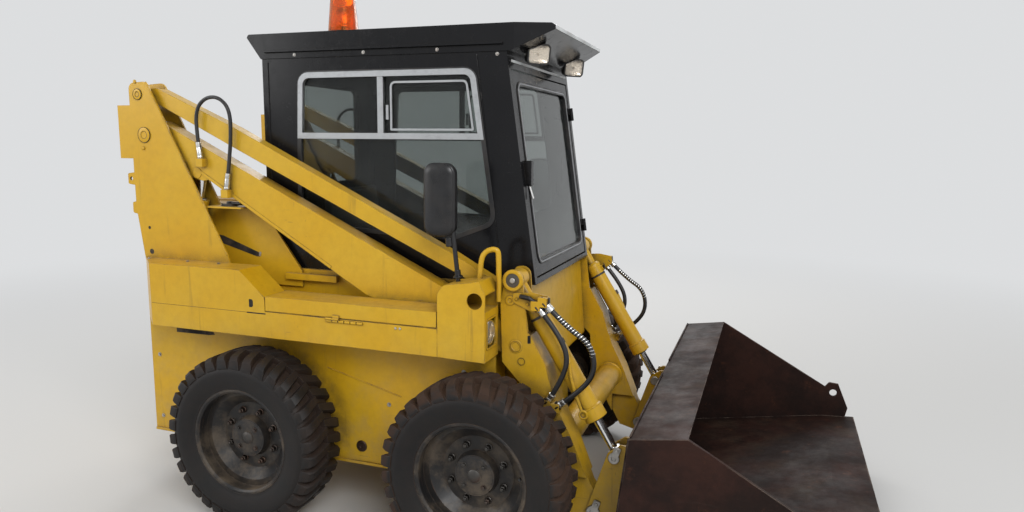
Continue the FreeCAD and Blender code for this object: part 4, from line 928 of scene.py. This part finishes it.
def front_fittings():
    """Crimped ends of the tilt hoses, with their hexagons, on the front frame."""
    fittings = Piece("front_fittings", "front_frame", ZINC, "pin_steel", both=True, bevel=0.5)
    dark = Piece("front_ports_nuts", "front_frame", PORT_STEEL, "pin_steel", both=True, bevel=0.8)
    for route in (TILT_HOSE_A, TILT_HOSE_B):
        for first, second in ((route[0], route[1]), (route[-1], route[-2])):
            back = (Vector(first) - Vector(second)).normalized()
            at = (first[0], TILT_HOSE_Y, first[1])
            fittings.turned(at, (back.x, 0, back.y),
                            [(11, -14), (14.4, -12), (14.4, 2), (13.6, 4), (14.4, 6), (14.4, 14)], 28)
            foot = (first[0] + back.x * 22, TILT_HOSE_Y, first[1] + back.y * 22)
            dark.turned(foot, (back.x, 0, back.y), [(19, -6), (19, 9), (16, 12), (12, 30)], 6)
    fittings.done()
    dark.box(1236, 1256, LEG_OUT + 5, TILT_HOSE_Y + 8, 1004, 1032)
    dark.pipe([(1214, TILT_HOSE_Y + 2, 1004), (1176, TILT_HOSE_Y + 2, 1026), (1138, TILT_HOSE_Y - 4, 1030)],
              9)
    dark.done()
    bolts = Piece("port_bolts", "front_frame", YELLOW, "yellow_paint", both=True, bevel=0.5)
    for x, z in ((1122, 1016), (1166, 1000)):
        bolts.bolt((x, LEG_OUT + 6, z), Y, 9)
    bolts.done()
    spiral()


def route_points(route, y):
    """Points read from a route's own spline, in the frame's metres."""
    curve = nurbs("route", [(x, y, z) for x, z in route], steps=24)
    holder = bpy.data.objects.new("route", curve)
    mesh = bpy.data.meshes.new_from_object(holder)
    points = [v.co.copy() for v in mesh.vertices]
    bpy.data.objects.remove(holder)
    bpy.data.meshes.remove(mesh)
    return points


def spiral():
    """Flat metal guard wound round the upper half of the longer tilt hose."""
    points = route_points(TILT_HOSE_B, TILT_HOSE_Y)
    guard = Piece("hose_guard", "front_frame", ZINC, "pin_steel", both=True, bevel=0)
    spans = [0.0]
    for first, second in zip(points, points[1:]):
        spans.append(spans[-1] + (second - first).length)
    low, high, pitch = 0.045, 0.245, 0.0125
    rings = []
    steps = int((high - low) / pitch * 20)
    for k in range(steps + 1):
        at = low + (high - low) * k / steps
        i = max(n for n, d in enumerate(spans) if d <= at)
        share = (at - spans[i]) / max(spans[i + 1] - spans[i], 1e-9)
        here = points[i].lerp(points[i + 1], share)
        ahead = (points[i + 1] - points[i]).normalized()
        across = Vector(Y)
        other = ahead.cross(across).normalized()
        angle = 2 * math.pi * (at - low) / pitch
        out = across * math.cos(angle) + other * math.sin(angle)
        ring = []
        for radius, slip in ((0.0099, -0.0016), (0.0113, -0.0013), (0.0113, 0.0013), (0.0099, 0.0016)):
            ring.append(here + out * radius + ahead * slip)
        rings.append(ring)
    guard.loft(rings)
    guard.done()


linkage_pins()
cylinders()
arm_trim()
front_fittings()

# Cab


SIDE_WINDOW = [(60, 1240, 50), (800, 1222, 50), (978, 1290, 50), (890, 1896, 50), (78, 1896, 50)]
REAR_WINDOW = rect(-320, 1400, 320, 1880, 40)
DOOR_WINDOW = rect(-350, 1128, 350, 1845, 40)


def windows():
    """Rubber seals with a pale filler strip round each pane, and the sliding pane's light metal frame."""
    seal = Piece("window_seals", "chassis", SEAL, "dark_plastic", both=True, bevel=1.0)
    seal.frame_side(inset(SIDE_WINDOW, -9), inset(SIDE_WINDOW, 10), CAB_HALF, CAB_HALF + 4)
    seal.frame_side(inset(SIDE_WINDOW, 0.5), inset(SIDE_WINDOW, 10), CAB_HALF - 12, CAB_HALF)
    seal.done()
    strip = Piece("window_strips", "chassis", ALUMINIUM, "bright_rod", both=True, bevel=0.6)
    outer = [(63, 1620), (75, 1899, 50), (893, 1899, 50), (933, 1620)]
    inner = [(87, 1645), (98, 1875, 30), (872, 1875, 30), (906, 1645)]
    strip.frame_side(outer, inner, CAB_HALF - 12, CAB_HALF + 6)
    strip.box(457, 484, CAB_HALF - 11, CAB_HALF + 4, 1644, 1876)
    pane = [(512, 1655, 6), (512, 1856, 24), (858, 1856, 24), (888, 1655, 6)]
    strip.frame_side(pane, inset(pane, 9), CAB_HALF - 11.5, CAB_HALF - 4)
    strip.box(494, 506, CAB_HALF - 11, CAB_HALF - 1, 1700, 1760)
    strip.done()
    rear = Piece("rear_window_seal", "chassis", SEAL, "dark_plastic", bevel=1.0)
    rear.frame_front(inset(REAR_WINDOW, -9), inset(REAR_WINDOW, 9), -114, -110)
    rear.frame_front(inset(REAR_WINDOW, 0.5), inset(REAR_WINDOW, 9), -110, -98.5)
    rear.done()
    front = CAB_LOW_FRONT - 2
    seal = Piece("door_seals", "front_door", SEAL, "dark_plastic", bevel=1.0)
    seal.frame_front(inset(DOOR_WINDOW, -9), inset(DOOR_WINDOW, 9), front, front + 4, RAKE)
    seal.frame_front(inset(DOOR_WINDOW, 0.5), inset(DOOR_WINDOW, 9), front - 11.5, front, RAKE)
    seal.done()
    strip = Piece("door_strip", "front_door", ALUMINIUM, "bright_rod", bevel=0.6)
    strip.frame_front(inset(DOOR_WINDOW, -2.5), inset(DOOR_WINDOW, 2.5), front + 3, front + 5, RAKE)
    strip.done()
    lock = Piece("door_lock", "front_door", ZINC, "pin_steel", bevel=0.6)
    lock.turned((rake_x(1490) + 12, -375, 1490), X, [(9, -12), (9, 3), (7, 5), (2, 5), (2, 4)], 20)
    lock.rod((rake_x(1455) + 4, -375, 1455), (rake_x(1390) + 16, -375, 1390), 5)
    lock.done()


def cab_trim():
    """Roof ribs and bolts, drip rails, visor edge, gutter strip as a pale painted highlight, wall bolts and
    weld beads.
    """
    black = Piece("roof_ribs", "chassis", BLACK, "black_paint", both=True, bevel=3.0)
    for y in (90, 250):
        black.loft([[P(a, b, z) for a, b in rounded(rect(0, y - w, 960, y + w, w * 0.9))]
                    for w, z in ((34, ROOF_TOP - 1), (30, ROOF_TOP + 5), (24, ROOF_TOP + 8))])
    black.box(-90, 1010, CAB_HALF + 3, CAB_HALF + 12, 1984, 1989)
    black.box(-90, 1010, CAB_HALF + 9, CAB_HALF + 12, 1984, 1996)
    black.done()
    # Pale grey visor edge and gutter strip; the gutter strip is a painted highlight along the cab's front
    # top bar.
    edge = Piece("visor_edge_and_highlight_strip", "chassis", PALE_TRIM_AND_HIGHLIGHT, "dark_plastic", bevel=1.0)
    edge.front(rect(-374, 2043, 374, 2057, 5), 1203, 1206.5)
    edge.front(rect(-392, 1922, 392, 1932, 3), rake_x(1927) + 0.5, rake_x(1927) + 4)
    edge.done()
    bolts = Piece("cab_bolts", "chassis", STEEL, "pin_steel", both=True, bevel=0.5)
    for x in (60, 396, 731):
        bolts.bolt((x, 434, 1974), Y, 8)
    bolts.bolt((986, CAB_HALF, 1950), Y, 8)
    for y in (120, 360):
        bolts.bolt((-110, y, 1350), (-1, 0, 0), 9)
        bolts.bolt((-110, y, 1930), (-1, 0, 0), 9)
    bolts.done()
    rods = Piece("cab_welds", "chassis", BLACK, "black_paint", both=True, bevel=0)
    rods.weld((-80, CAB_HALF + 1, 1072), (-80, CAB_HALF + 1, 1950), 2.6)
    rods.weld((1010, CAB_HALF + 1, 1085), (900, CAB_HALF + 1, 1955), 2.6)
    rods.done()


def work_lamps():
    """Two rectangular lamps under the visor, each a hollow housing with reflector, bulb and lens."""
    house = Piece("work_lamp_housings", "chassis", PLASTIC, "dark_plastic", bevel=1.0)
    bowl = Piece("work_lamp_reflectors", "chassis", REFLECTOR, "bright_rod", bevel=0)
    cover = Piece("work_lamp_lenses", "chassis", CLEAR, "lamp_lens", bevel=0)
    small = Piece("work_lamp_bolts", "chassis", ZINC, "pin_steel", bevel=0.5)

    def ring(x, half_y, half_z, radius):
        half = rect(-half_y, -half_z, half_y, half_z, radius)
        return [P(x, a, b) for a, b in rounded(half)]

    for y in (-272, 272):
        turn = Matrix.Rotation(math.radians(-48), 4, "Z") @ Matrix.Rotation(math.radians(12), 4, "Y")
        spot = Matrix.Translation((1.096, y / 1000, 1.965)) @ turn
        parts = []
        for finish in (PLASTIC, REFLECTOR, CLEAR, ZINC):
            parts.append(Piece("part", "chassis", finish, ""))
        parts[0].loft([ring(-26, 30, 24, 12), ring(-24, 38, 31, 15), ring(-10, 47, 38.5, 17),
                       ring(17, 50, 41, 18),
                       ring(26, 50, 41, 18), ring(27, 48, 39, 16), ring(27, 44.5, 35.5, 14), ring(22, 44,
                                                                                                  35, 14),
                       ring(12, 43, 34, 14)])
        parts[1].loft([ring(22.5, 43.6, 34.6, 13.6), ring(18, 38, 30, 13), ring(14.5, 26, 20, 12),
                       ring(13, 12, 10, 8)],
                      caps=(False, True))
        parts[1].turned((13, 0, 0), X, [(6, 0), (6, 5), (3.5, 9), (0.5, 10.5)], 16)
        parts[2].loft([ring(24, 44, 35, 13.8), ring(26.5, 43.4, 34.4, 13.4), ring(28.3, 36, 28, 12),
                       ring(29.4, 20, 15, 8)])
        for side in (-1, 1):
            parts[3].bolt((-4, side * 49, -6), (0, side, 0), 9)
        for part in parts:
            part.place(spot)
            part.cut((1096, 0, 1960 + (1096 - 1040) * 0.5 - 5), Vector((-0.4472, 0, 0.8944)))
        for part, whole in zip(parts, (house, bowl, cover, small)):
            scratch = bpy.data.meshes.new("scratch")
            part.mesh.to_mesh(scratch)
            part.mesh.free()
            whole.mesh.from_mesh(scratch)
            bpy.data.meshes.remove(scratch)
        house.rod((1096, y, 1990), (1096 - 8, y, 1950), 11)
    for piece in (house, bowl, cover, small):
        made = piece.done()
        if piece is house:
            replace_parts(made, "work_lamps")


def beacon():
    """Warning beacon: black base, ribbed amber dome, mirror dish and bulb inside."""
    x, y = 215.0, -290.0
    base = Piece("beacon_base", "chassis", PLASTIC, "dark_plastic", bevel=1.0)
    base.turned((x, y, ROOF_TOP), Z, [(70, 0), (70, 9), (68, 13), (62, 16), (56, 17)], 48)
    base.turned((x, y, ROOF_TOP + 17), Z, [(30, 0), (26, 8), (12, 12), (10, 40)], 32)
    dome = Piece("beacon_dome", "chassis", AMBER, "amber_lens", bevel=0)
    outside, inside = [], []
    for k in range(70):
        z = 15 + k * 2.0
        outside.append((66.0 - 12.0 * (z - 15) / 138 - (0.9 if k % 2 else 0.0), z))
        inside.append((62.0 - 12.0 * (z - 15) / 138, z))
    outside += [(52.5, 156), (48, 162), (40, 167), (26, 169.5), (10, 170)]
    inside += [(46, 155), (40, 161), (26, 165), (10, 166)]
    dome.turned((x, y, ROOF_TOP), Z, outside + inside[::-1], 64, loop=True)
    made = dome.done()
    dish = Piece("beacon_dish", "chassis", REFLECTOR, "bright_rod", bevel=0)
    dish.turned((x + 10, y - 12, ROOF_TOP + 84), (0.66, -0.75, 0),
                [(37, 6), (35, 4), (29, -1), (18, -6), (5, -8), (5, -10), (19, -8), (31, -3), (37, 3)], 40,
                loop=True)
    dish.turned((x, y, ROOF_TOP + 56), Z, [(7, 0), (7, 12), (9, 16), (9, 26), (5, 33), (1, 35)], 20)
    dish.done()
    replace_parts(made, "beacon")
    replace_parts(base.done(), "beacon")


def mirrors():
    glass = Piece("mirror_panes", "chassis", MIRROR_GLASS, "bright_rod", both=True, bevel=0.5)
    glass.side(rect(774, 1260, 888, 1524, 35), 606.6, 609)
    glass.done()
    shell = Piece("mirror_shells", "chassis", MIRROR_BLACK, "dark_plastic", both=True, bevel=1.5)
    outline = rect(768, 1254, 894, 1530, 41)
    shell.frame_side(outline, inset(outline, 7), 604.5, 612)
    rings = []
    for step, y in ((2, 636), (4, 644), (12, 650), (26, 653), (40, 654)):
        rings.append([P(a, y, b) for a, b in rounded(inset(outline, step))])
    shell.loft(rings)
    shell.turned((870, 624, 1214), (-0.11, 0, 1), [(12, 0), (15, 2), (15, 34), (12, 36)], 24)
    shell.turned((905, 624, 1096), (-0.11, 0, 1), [(19, 0), (19, 6), (12, 10), (12, 30)], 24)
    shell.done()


# Front lamp boxes, fenders and hull


def headlamps():
    for name, finish, slot, forms in (
            ("headlamp_bowls", REFLECTOR, "bright_rod",
             [[(30, -68), (33, -58), (42, -30), (46, -4), (46, 0), (44.5, 0),
                                                          (44, -8), (38, -30), (28, -52), (8, -60)]]),
            ("headlamp_rims", CHROME, "pin_steel",
             [[(43, 0), (43, 5), (47, 6), (50, 3), (50, -4), (46, -5)]]),
            ("headlamp_bulbs", ZINC, "pin_steel", [[(7, -58), (7, -40), (5, -32), (1, -30)]]),
            ("headlamp_lenses", CLEAR, "lamp_lens", [[(43.6, -1), (43.4, 3), (38, 6.5), (24, 9), (8, 10)]])):
        piece = Piece(name, "chassis", finish, slot, both=True, bevel=0.3 if name.endswith("rims") else 0)
        for form in forms:
            ringed = name.endswith("rims")
            piece.turned((1036, 631, 895), X, form, 40, loop=ringed)
        made = piece.done()
        if name == "headlamp_bowls":
            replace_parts(made, "headlamps")


def body_trim():
    """Seams, holes with painted shade in them, dents, plugs, hinges and beads of the fenders, hull and
    posts.
    """
    # Painted shade: near-black sheets over the D-shaped hole in the fender, the tapering slot on the hull
    # side and the small holes; thin dark lines along the fender lid's seam, and a dark oblique strip on the
    # post's inner plate.
    dark = Piece("body_shade_and_seams", "chassis", SHADE_AND_DARK_MARKS, "dark_plastic", both=True, bevel=0)
    dark.side([(-15, 920, 3), (5, 920, 10), (5, 954, 10), (-15, 954, 3)], FENDER_OUT - 2, FENDER_OUT + 0.5)
    dark.box(-538, -28, FENDER_OUT - 1, FENDER_OUT + 0.3, 896.5, 897.7)
    dark.box(-28, 66, FENDER_OUT - 1, FENDER_OUT + 0.5, 894, 899)
    dark.side([(-545, 729), (-360, 731), (-327, 736), (-340, 754), (-545, 754)], HULL_HALF - 2,
              HULL_HALF + 0.6)
    dark.side([(-372, 1182, 4), (-345, 1142), (-160, 1092), (-140, 1092, 3), (-150, 1112), (-340, 1178)],
              INNER_HALF + 9, INNER_HALF + 10.7)
    for x, z, radius in ((-663, 1100, 12), (-668, 1210, 7), (-300, 960, 6)):
        dark.turned((x, HULL_HALF - 1, z), Y, [(radius, 0), (radius, 1.6)], 24)
    dark.done()
    steel = Piece("body_fasteners", "chassis", STEEL, "pin_steel", both=True, bevel=0.5)
    for x, z in ((-655, 310), (-655, 610), (560, 520), (900, 700), (-480, 905), (-640, 1010)):
        steel.bolt((x, HULL_HALF, z), Y, 10)
    for x in (-640, -420, -250):
        steel.bolt((x, 600, 1073), Z, 9)
    steel.side([(-148, 1096, 3), (-139, 1093, 3), (-134, 1112, 3), (-145, 1116, 3)], INNER_HALF + 10,
               INNER_HALF + 12)
    for x, z in ((673, 892), (692, 892)):
        steel.turned((x, FENDER_OUT, z), Y, [(5, 0), (5, 2), (3, 3)], 12)
    steel.done()
    yellow = Piece("body_beads", "chassis", YELLOW, "yellow_paint", both=True, bevel=0.8)
    plug = Piece("hull_plugs", "chassis", PORT_STEEL, "pin_steel", both=True, bevel=0.8)
    plug.turned((425, HULL_HALF, 318), Y, [(25, 0), (25, 3), (22, 5), (8, 5), (7, 3), (1, 3)], 32)
    plug.done()
    for first, second in (((262, 650), (432, 608)), ((432, 608), (621, 561))):
        yellow.weld((first[0], HULL_HALF, first[1]), (second[0], HULL_HALF, second[1]), 3.4)
    yellow.weld((-690, HULL_HALF + 1, 795), (-400, HULL_HALF + 1, 795), 4)
    yellow.weld((300, HULL_HALF + 1, 795), (840, HULL_HALF + 1, 795), 4)
    yellow.weld((-700, 552, 1050), (-738, 552, 1300), 3.2)
    yellow.weld((-236, 558, 1103), (-640, 558, 1866), 3.0)
    yellow.side(rect(-698, 238, 1030, 250, 3), HULL_HALF - 4, HULL_HALF + 7)
    cap = Piece("shelf_cap", "chassis", PLASTIC, "dark_plastic", both=True, bevel=1.0)
    cap.turned((-262, 497, 1320), Z, [(36, 0), (36, 5), (30, 9), (14, 10), (12, 20), (1, 20)], 32)
    cap.rod((-262, 497, 1332), (-196, 500, 1332), 7)
    cap.done()
    yellow.box(0, 262, INNER_HALF + 1, INNER_HALF + 24, 1002, 1030)
    for x0 in (363, 391, 419, 447, 475, 503):
        yellow.rod((x0, 702, 896), (x0 + 24, 702, 896), 5.5, 16)
    yellow.frame_front(rect(579, 835, 683, 955, 8),
                       rect(585, 841, 677, 949, 8), 1043, 1048)
    yellow.done()
    # Dark rings at the arm's front pin and below it, and a near-black sheet over the leg's elongated hole as
    # painted shade.
    leg = Piece("leg_rings_and_hole_shade", "front_frame", SHADE_AND_DARK_MARKS, "dark_plastic", both=True, bevel=0)
    for x, z, radius in ((1118, 828, 22), (1142, 770, 15)):
        leg.turned((x, LEG_OUT, z), Y,
                   [(radius, 2.6), (radius, 3.4), (radius - 1.6, 3.4), (radius - 1.6, 2.6)],
                   32, loop=True)
    leg.side([(1166, 843, 3), (1179, 845, 3), (1178, 876, 3), (1166, 875, 3)], LEG_OUT - 1, LEG_OUT + 0.8)
    leg.done()
    beads = Piece("leg_beads", "front_frame", YELLOW, "yellow_paint", both=True, bevel=0)
    beads.weld((1150, 552, 1010), (1166, 552, 885), 3)
    beads.weld((1166, 552, 885), (1240, 552, 757), 3)
    beads.turned((1285, 445, 440), (0, -1, 0), [(64, 0), (62, 4), (58, 7)], 40)
    beads.done()


def rear_end():
    """Rear door louvres, mesh and handle, hood handle, and rear lamp frames."""
    louvres = Piece("louvres", "rear_door", YELLOW, "yellow_paint", bevel=1.0)
    for z in range(620, 1180, 56):
        louvres.loft([[P(x, y, z + up) for x, up in ((-725, 30), (-739, 8), (-737, 5), (-725, 24))]
                      for y in (-326, 326)])
    louvres.frame_front(rect(-414, 300, 414, 1272, 14),
                        rect(-392, 322, 392, 1250, 10), -730, -726)
    louvres.done()
    mesh = Piece("grille_mesh", "rear_door", PLASTIC, "dark_plastic", bevel=0)
    for y in range(-334, 336, 16):
        mesh.rod((-699, y, 610), (-699, y, 1170), 1.4, 6)
    for z in range(610, 1172, 16):
        mesh.rod((-697, -338, z), (-697, 338, z), 1.4, 6)
    mesh.done()
    latch = Piece("rear_door_latch", "rear_door", PLASTIC, "dark_plastic", bevel=1.0)
    latch.front(rect(-404, 780, -360, 900, 14), -738, -726)
    latch.pipe([(-738, -382, 884), (-752, -382, 876), (-752, -382, 812), (-738, -382, 800)], 6)
    latch.done()
    lock = Piece("rear_door_lock", "rear_door", ZINC, "pin_steel", bevel=0.5)
    lock.turned((-738, -370, 790), (-1, 0, 0), [(6, 0), (6, 3), (4, 4)], 16)
    lock.done()
    grip = Piece("hood_grip", "hood", BLACK, "black_paint", bevel=0.6)
    grip.pipe([(-640, -95, 1322), (-640, -95, 1352), (-640, 95, 1352), (-640, 95, 1322)], 6.5)
    for y in (-95, 95):
        grip.turned((-640, y, 1323), Z, [(15, 0), (15, 4), (9, 7)], 20)
    grip.done()
    press = Piece("hood_press", "hood", YELLOW, "yellow_paint", bevel=2.0)
    for y in (-240, 0, 240):
        rings = []
        for w, z in ((56, 1323), (52, 1329), (46, 1331)):
            rings.append([P(a, b, z) for a, b in rounded(rect(-560, y - w, -220, y + w, 20))])
        press.loft(rings)
    press.done()
    rims = Piece("rear_lamp_rims", "chassis", PLASTIC, "dark_plastic", both=True, bevel=1.0)
    outline = rect(458, 1541, 546, 1745, 6)
    rims.frame_front(outline, inset(outline, 7), -816, -808)
    rims.front(rect(462, 1676, 542, 1681), -813, -808)
    rims.front(rect(462, 1608, 542, 1613), -813, -808)
    rims.done()
    amber = Piece("rear_amber", "chassis", AMBER, "amber_lens", both=True, bevel=1.5)
    amber.front(rect(466, 1682, 538, 1737, 3), -813, -809)
    amber.done()
    clear = Piece("rear_clear", "chassis", CLEAR, "lamp_lens", both=True, bevel=1.5)
    clear.front(rect(466, 1549, 538, 1607, 3), -813, -809)
    clear.done()


def grab_loops():
    """Bent tube on each front lamp box."""
    path = [(984, 602, 1052), (986, 602, 1166), (1010, 594, 1204), (1050, 584, 1210), (1056, 582, 1176),
            (1055.5, 582, 1006)]
    for side, sign in SIDES:
        points = [(x, sign * y, z) for x, y, z in path]
        piece = tube("grab_tube_" + side, "chassis", YELLOW, points, GRAB_TUBE_R)
        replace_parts(piece, "grab_loops")


def engine_parts():
    """Valve cover, filters, pulleys and belt on the engine block."""
    cover = Piece("valve_cover", "chassis", PLASTIC, "dark_plastic", bevel=3.0)
    cover.loft([[P(a, b, z) for a, b in rounded(rect(-540, -g, -240, g, 22))]
                for g, z in ((108, 978), (104, 1030), (90, 1044))])
    cover.rod((-420, 150, 1060), (-260, 150, 1060), 74, 40)
    cover.turned((-260, 150, 1060), X, [(74, 0), (68, 12), (30, 16)], 40)
    cover.pipe([(-420, 150, 1060), (-500, 60, 1075), (-520, -60, 1050)], 26, 16)
    cover.done()
    wheels = Piece("pulleys", "chassis", PORT_STEEL, "pin_steel", bevel=0.8)
    for y, z, radius in ((0, 520, 86), (-150, 780, 52), (120, 800, 60)):
        groove = [(radius, 0), (radius, 5), (radius - 10, 12), (radius, 19), (radius, 24),
                  (radius * 0.3, 24), (radius * 0.3, 34)]
        wheels.turned((-602, y, z), (-1, 0, 0), groove, 40)
    wheels.done()
    belt = Piece("drive_belt", "chassis", SEAL, "dark_plastic", bevel=0.5)
    outer = [(-84, 500, 60), (-204, 770, 48), (-160, 834, 44), (126, 862, 50), (182, 790, 56),
             (84, 500, 60), (0, 432, 60)]
    belt.frame_front(outer, inset(outer, 8), -620, -609)
    belt.done()
    filters = Piece("engine_filter", "chassis", BLUE, "cast_engine", bevel=1.0)
    filters.turned((-420, 330, 560), Z, [(40, 0), (44, 4), (44, 130), (40, 138), (20, 142)], 36)
    filters.turned((-420, 330, 700), Z, [(30, 0), (30, 22), (12, 26)], 6)
    filters.box(-450, -390, 268, 335, 706, 726)
    filters.done()


# Seat and levers


def pad(piece, across, low, high, thick, crown, channels):
    """A crowned closed cushion: across in Y, its length from low to high as (x, z), and its thickness."""
    way = (Vector(high) - Vector(low))
    length = way.length
    way.normalize()
    up = Vector((-way.y, way.x))
    across_count, along_count = 40, 44
    for side in (1, -1):
        grid = []
        for i in range(along_count + 1):
            u = -1 + 2 * i / along_count
            line = []
            for j in range(across_count + 1):
                v = -1 + 2 * j / across_count
                shape = (1 - abs(u) ** 6) * (1 - abs(v) ** 6)
                pull = 1 - 0.035 * (1 - u * u) * abs(v) ** 8
                end_pull = 1 - 0.03 * (1 - v * v) * abs(u) ** 8
                swell = (shape ** 0.35) * (0.5 * thick - crown) + crown * (1 - u * u) * (1 - v * v)
                if side < 0:
                    swell = (shape ** 0.25) * 0.42 * thick
                for channel in channels:
                    swell -= 7 * math.exp(-((u - channel) * length / 2 / 7) ** 2) * shape if side > 0 else 0
                at = Vector(low) + way * (length * (0.5 + 0.5 * u * end_pull))
                at += up * (thick / 2 + side * swell)
                corner = (abs(u) * abs(v)) ** 6
                line.append(piece.mesh.verts.new(P(at.x, across * v * pull * (1 - 0.03 * corner), at.y)))
            grid.append(line)
        for i in range(along_count):
            for j in range(across_count):
                piece.mesh.faces.new((grid[i][j], grid[i + 1][j], grid[i + 1][j + 1], grid[i][j + 1]))
    bmesh.ops.remove_doubles(piece.mesh, verts=piece.mesh.verts, dist=0.0012)


def seat():
    """Cushion and backrest, crowned and channelled, with piping round their seams."""
    for name, across, low, high, thick, crown, channels in (
            ("seat_cushion", 240, (112, 852), (556, 852), 76, 20, (-0.42, 0.05, 0.5)),
            ("seat_backrest", 230, (148, 874), (88, 1396), 74, 16, (-0.5, -0.1, 0.3, 0.66))):
        piece = Piece(name, "chassis", VINYL, "seat_vinyl", bevel=0)
        pad(piece, across, low, high, thick, crown, channels)
        made = piece.done()
        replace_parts(made, "seat")
    trim = Piece("seat_piping", "chassis", SEAL, "seat_vinyl", bevel=0)
    for across, low, high, thick in ((236, (112, 852), (556, 852), 76), (226, (148, 874), (88, 1396), 74)):
        way = (Vector(high) - Vector(low)).normalized()
        up = Vector((-way.y, way.x))
        ends = [Vector(low) + way * 8 + up * thick * 0.5, Vector(high) - way * 8 + up * thick * 0.5]
        loop = []
        for end, order in ((ends[0], (-1, 1)), (ends[1], (1, -1))):
            for sign in order:
                loop.append((end.x, sign * (across - 5), end.y))
        trim.pipe(loop + [loop[0]], 3.6, 8)
    trim.done()


def lever_trim():
    boots = Piece("lever_boots", "chassis", SEAL, "dark_plastic", both=True, bevel=0.4)
    folds = []
    for k in range(7):
        folds += [(40 - 4 * k, 8 * k), (35 - 4 * k, 8 * k + 4)]
    boots.turned((560, 290, 900), (0.29, -0.08, 0.95), folds + [(10, 58)], 32)
    boots.box(470, 610, 252, 328, 897, 903)
    boots.done()
    knobs = Piece("lever_knobs", "chassis", PLASTIC, "dark_plastic", both=True, bevel=0.6)
    knobs.turned((634, 268.5, 1122), (0.29, -0.08, 0.95), [(11, 0), (16, 6), (13, 14)], 28)
    knobs.done()


def bucket_trim():
    """Weld beads along the bucket's sides and back."""
    edge = Piece("bucket_beads", "bucket", BUCKET, "bucket_steel", both=True, bevel=0.8)
    edge.weld((1580, 851, 66), (2380, 851, 205), 4)
    edge.weld((1620, 851, 640), (1565, 851, 160), 4)
    edge.weld((1625, 100, 645), (1625, 850, 645), 4)
    edge.done()


windows()
cab_trim()
work_lamps()
beacon()
mirrors()
headlamps()
body_trim()
rear_end()
grab_loops()
engine_parts()
seat()
lever_trim()
bucket_trim()


# Materials of the CAD nodes that show


def node_finishes():
    plain = {
        "axles": RIM_BLACK, "bucket": BUCKET, "tilt_rods": CHROME, "lift_rods": CHROME,
        "cab_glass": GLASS, "door_glass": GLASS, "beacon": AMBER, "rear_lamps": RED,
        "mirrors": MIRROR_BLACK, "levers": PLASTIC, "engine": ENGINE,
        "headlamps": CLEAR, "work_lamps": PLASTIC, "seat": VINYL,
    }
    black = ("cab_side_left", "cab_side_right", "cab_rear", "cab_front_bars", "roof", "front_door",
             "seat_base")
    for name in black:
        plain[name] = BLACK
    for name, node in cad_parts.items():
        if name.startswith("rim_"):
            finish = RIM_BLACK
        else:
            finish = plain.get(name, YELLOW)
        node.data.materials.clear()
        node.data.materials.append(finish)


node_finishes()
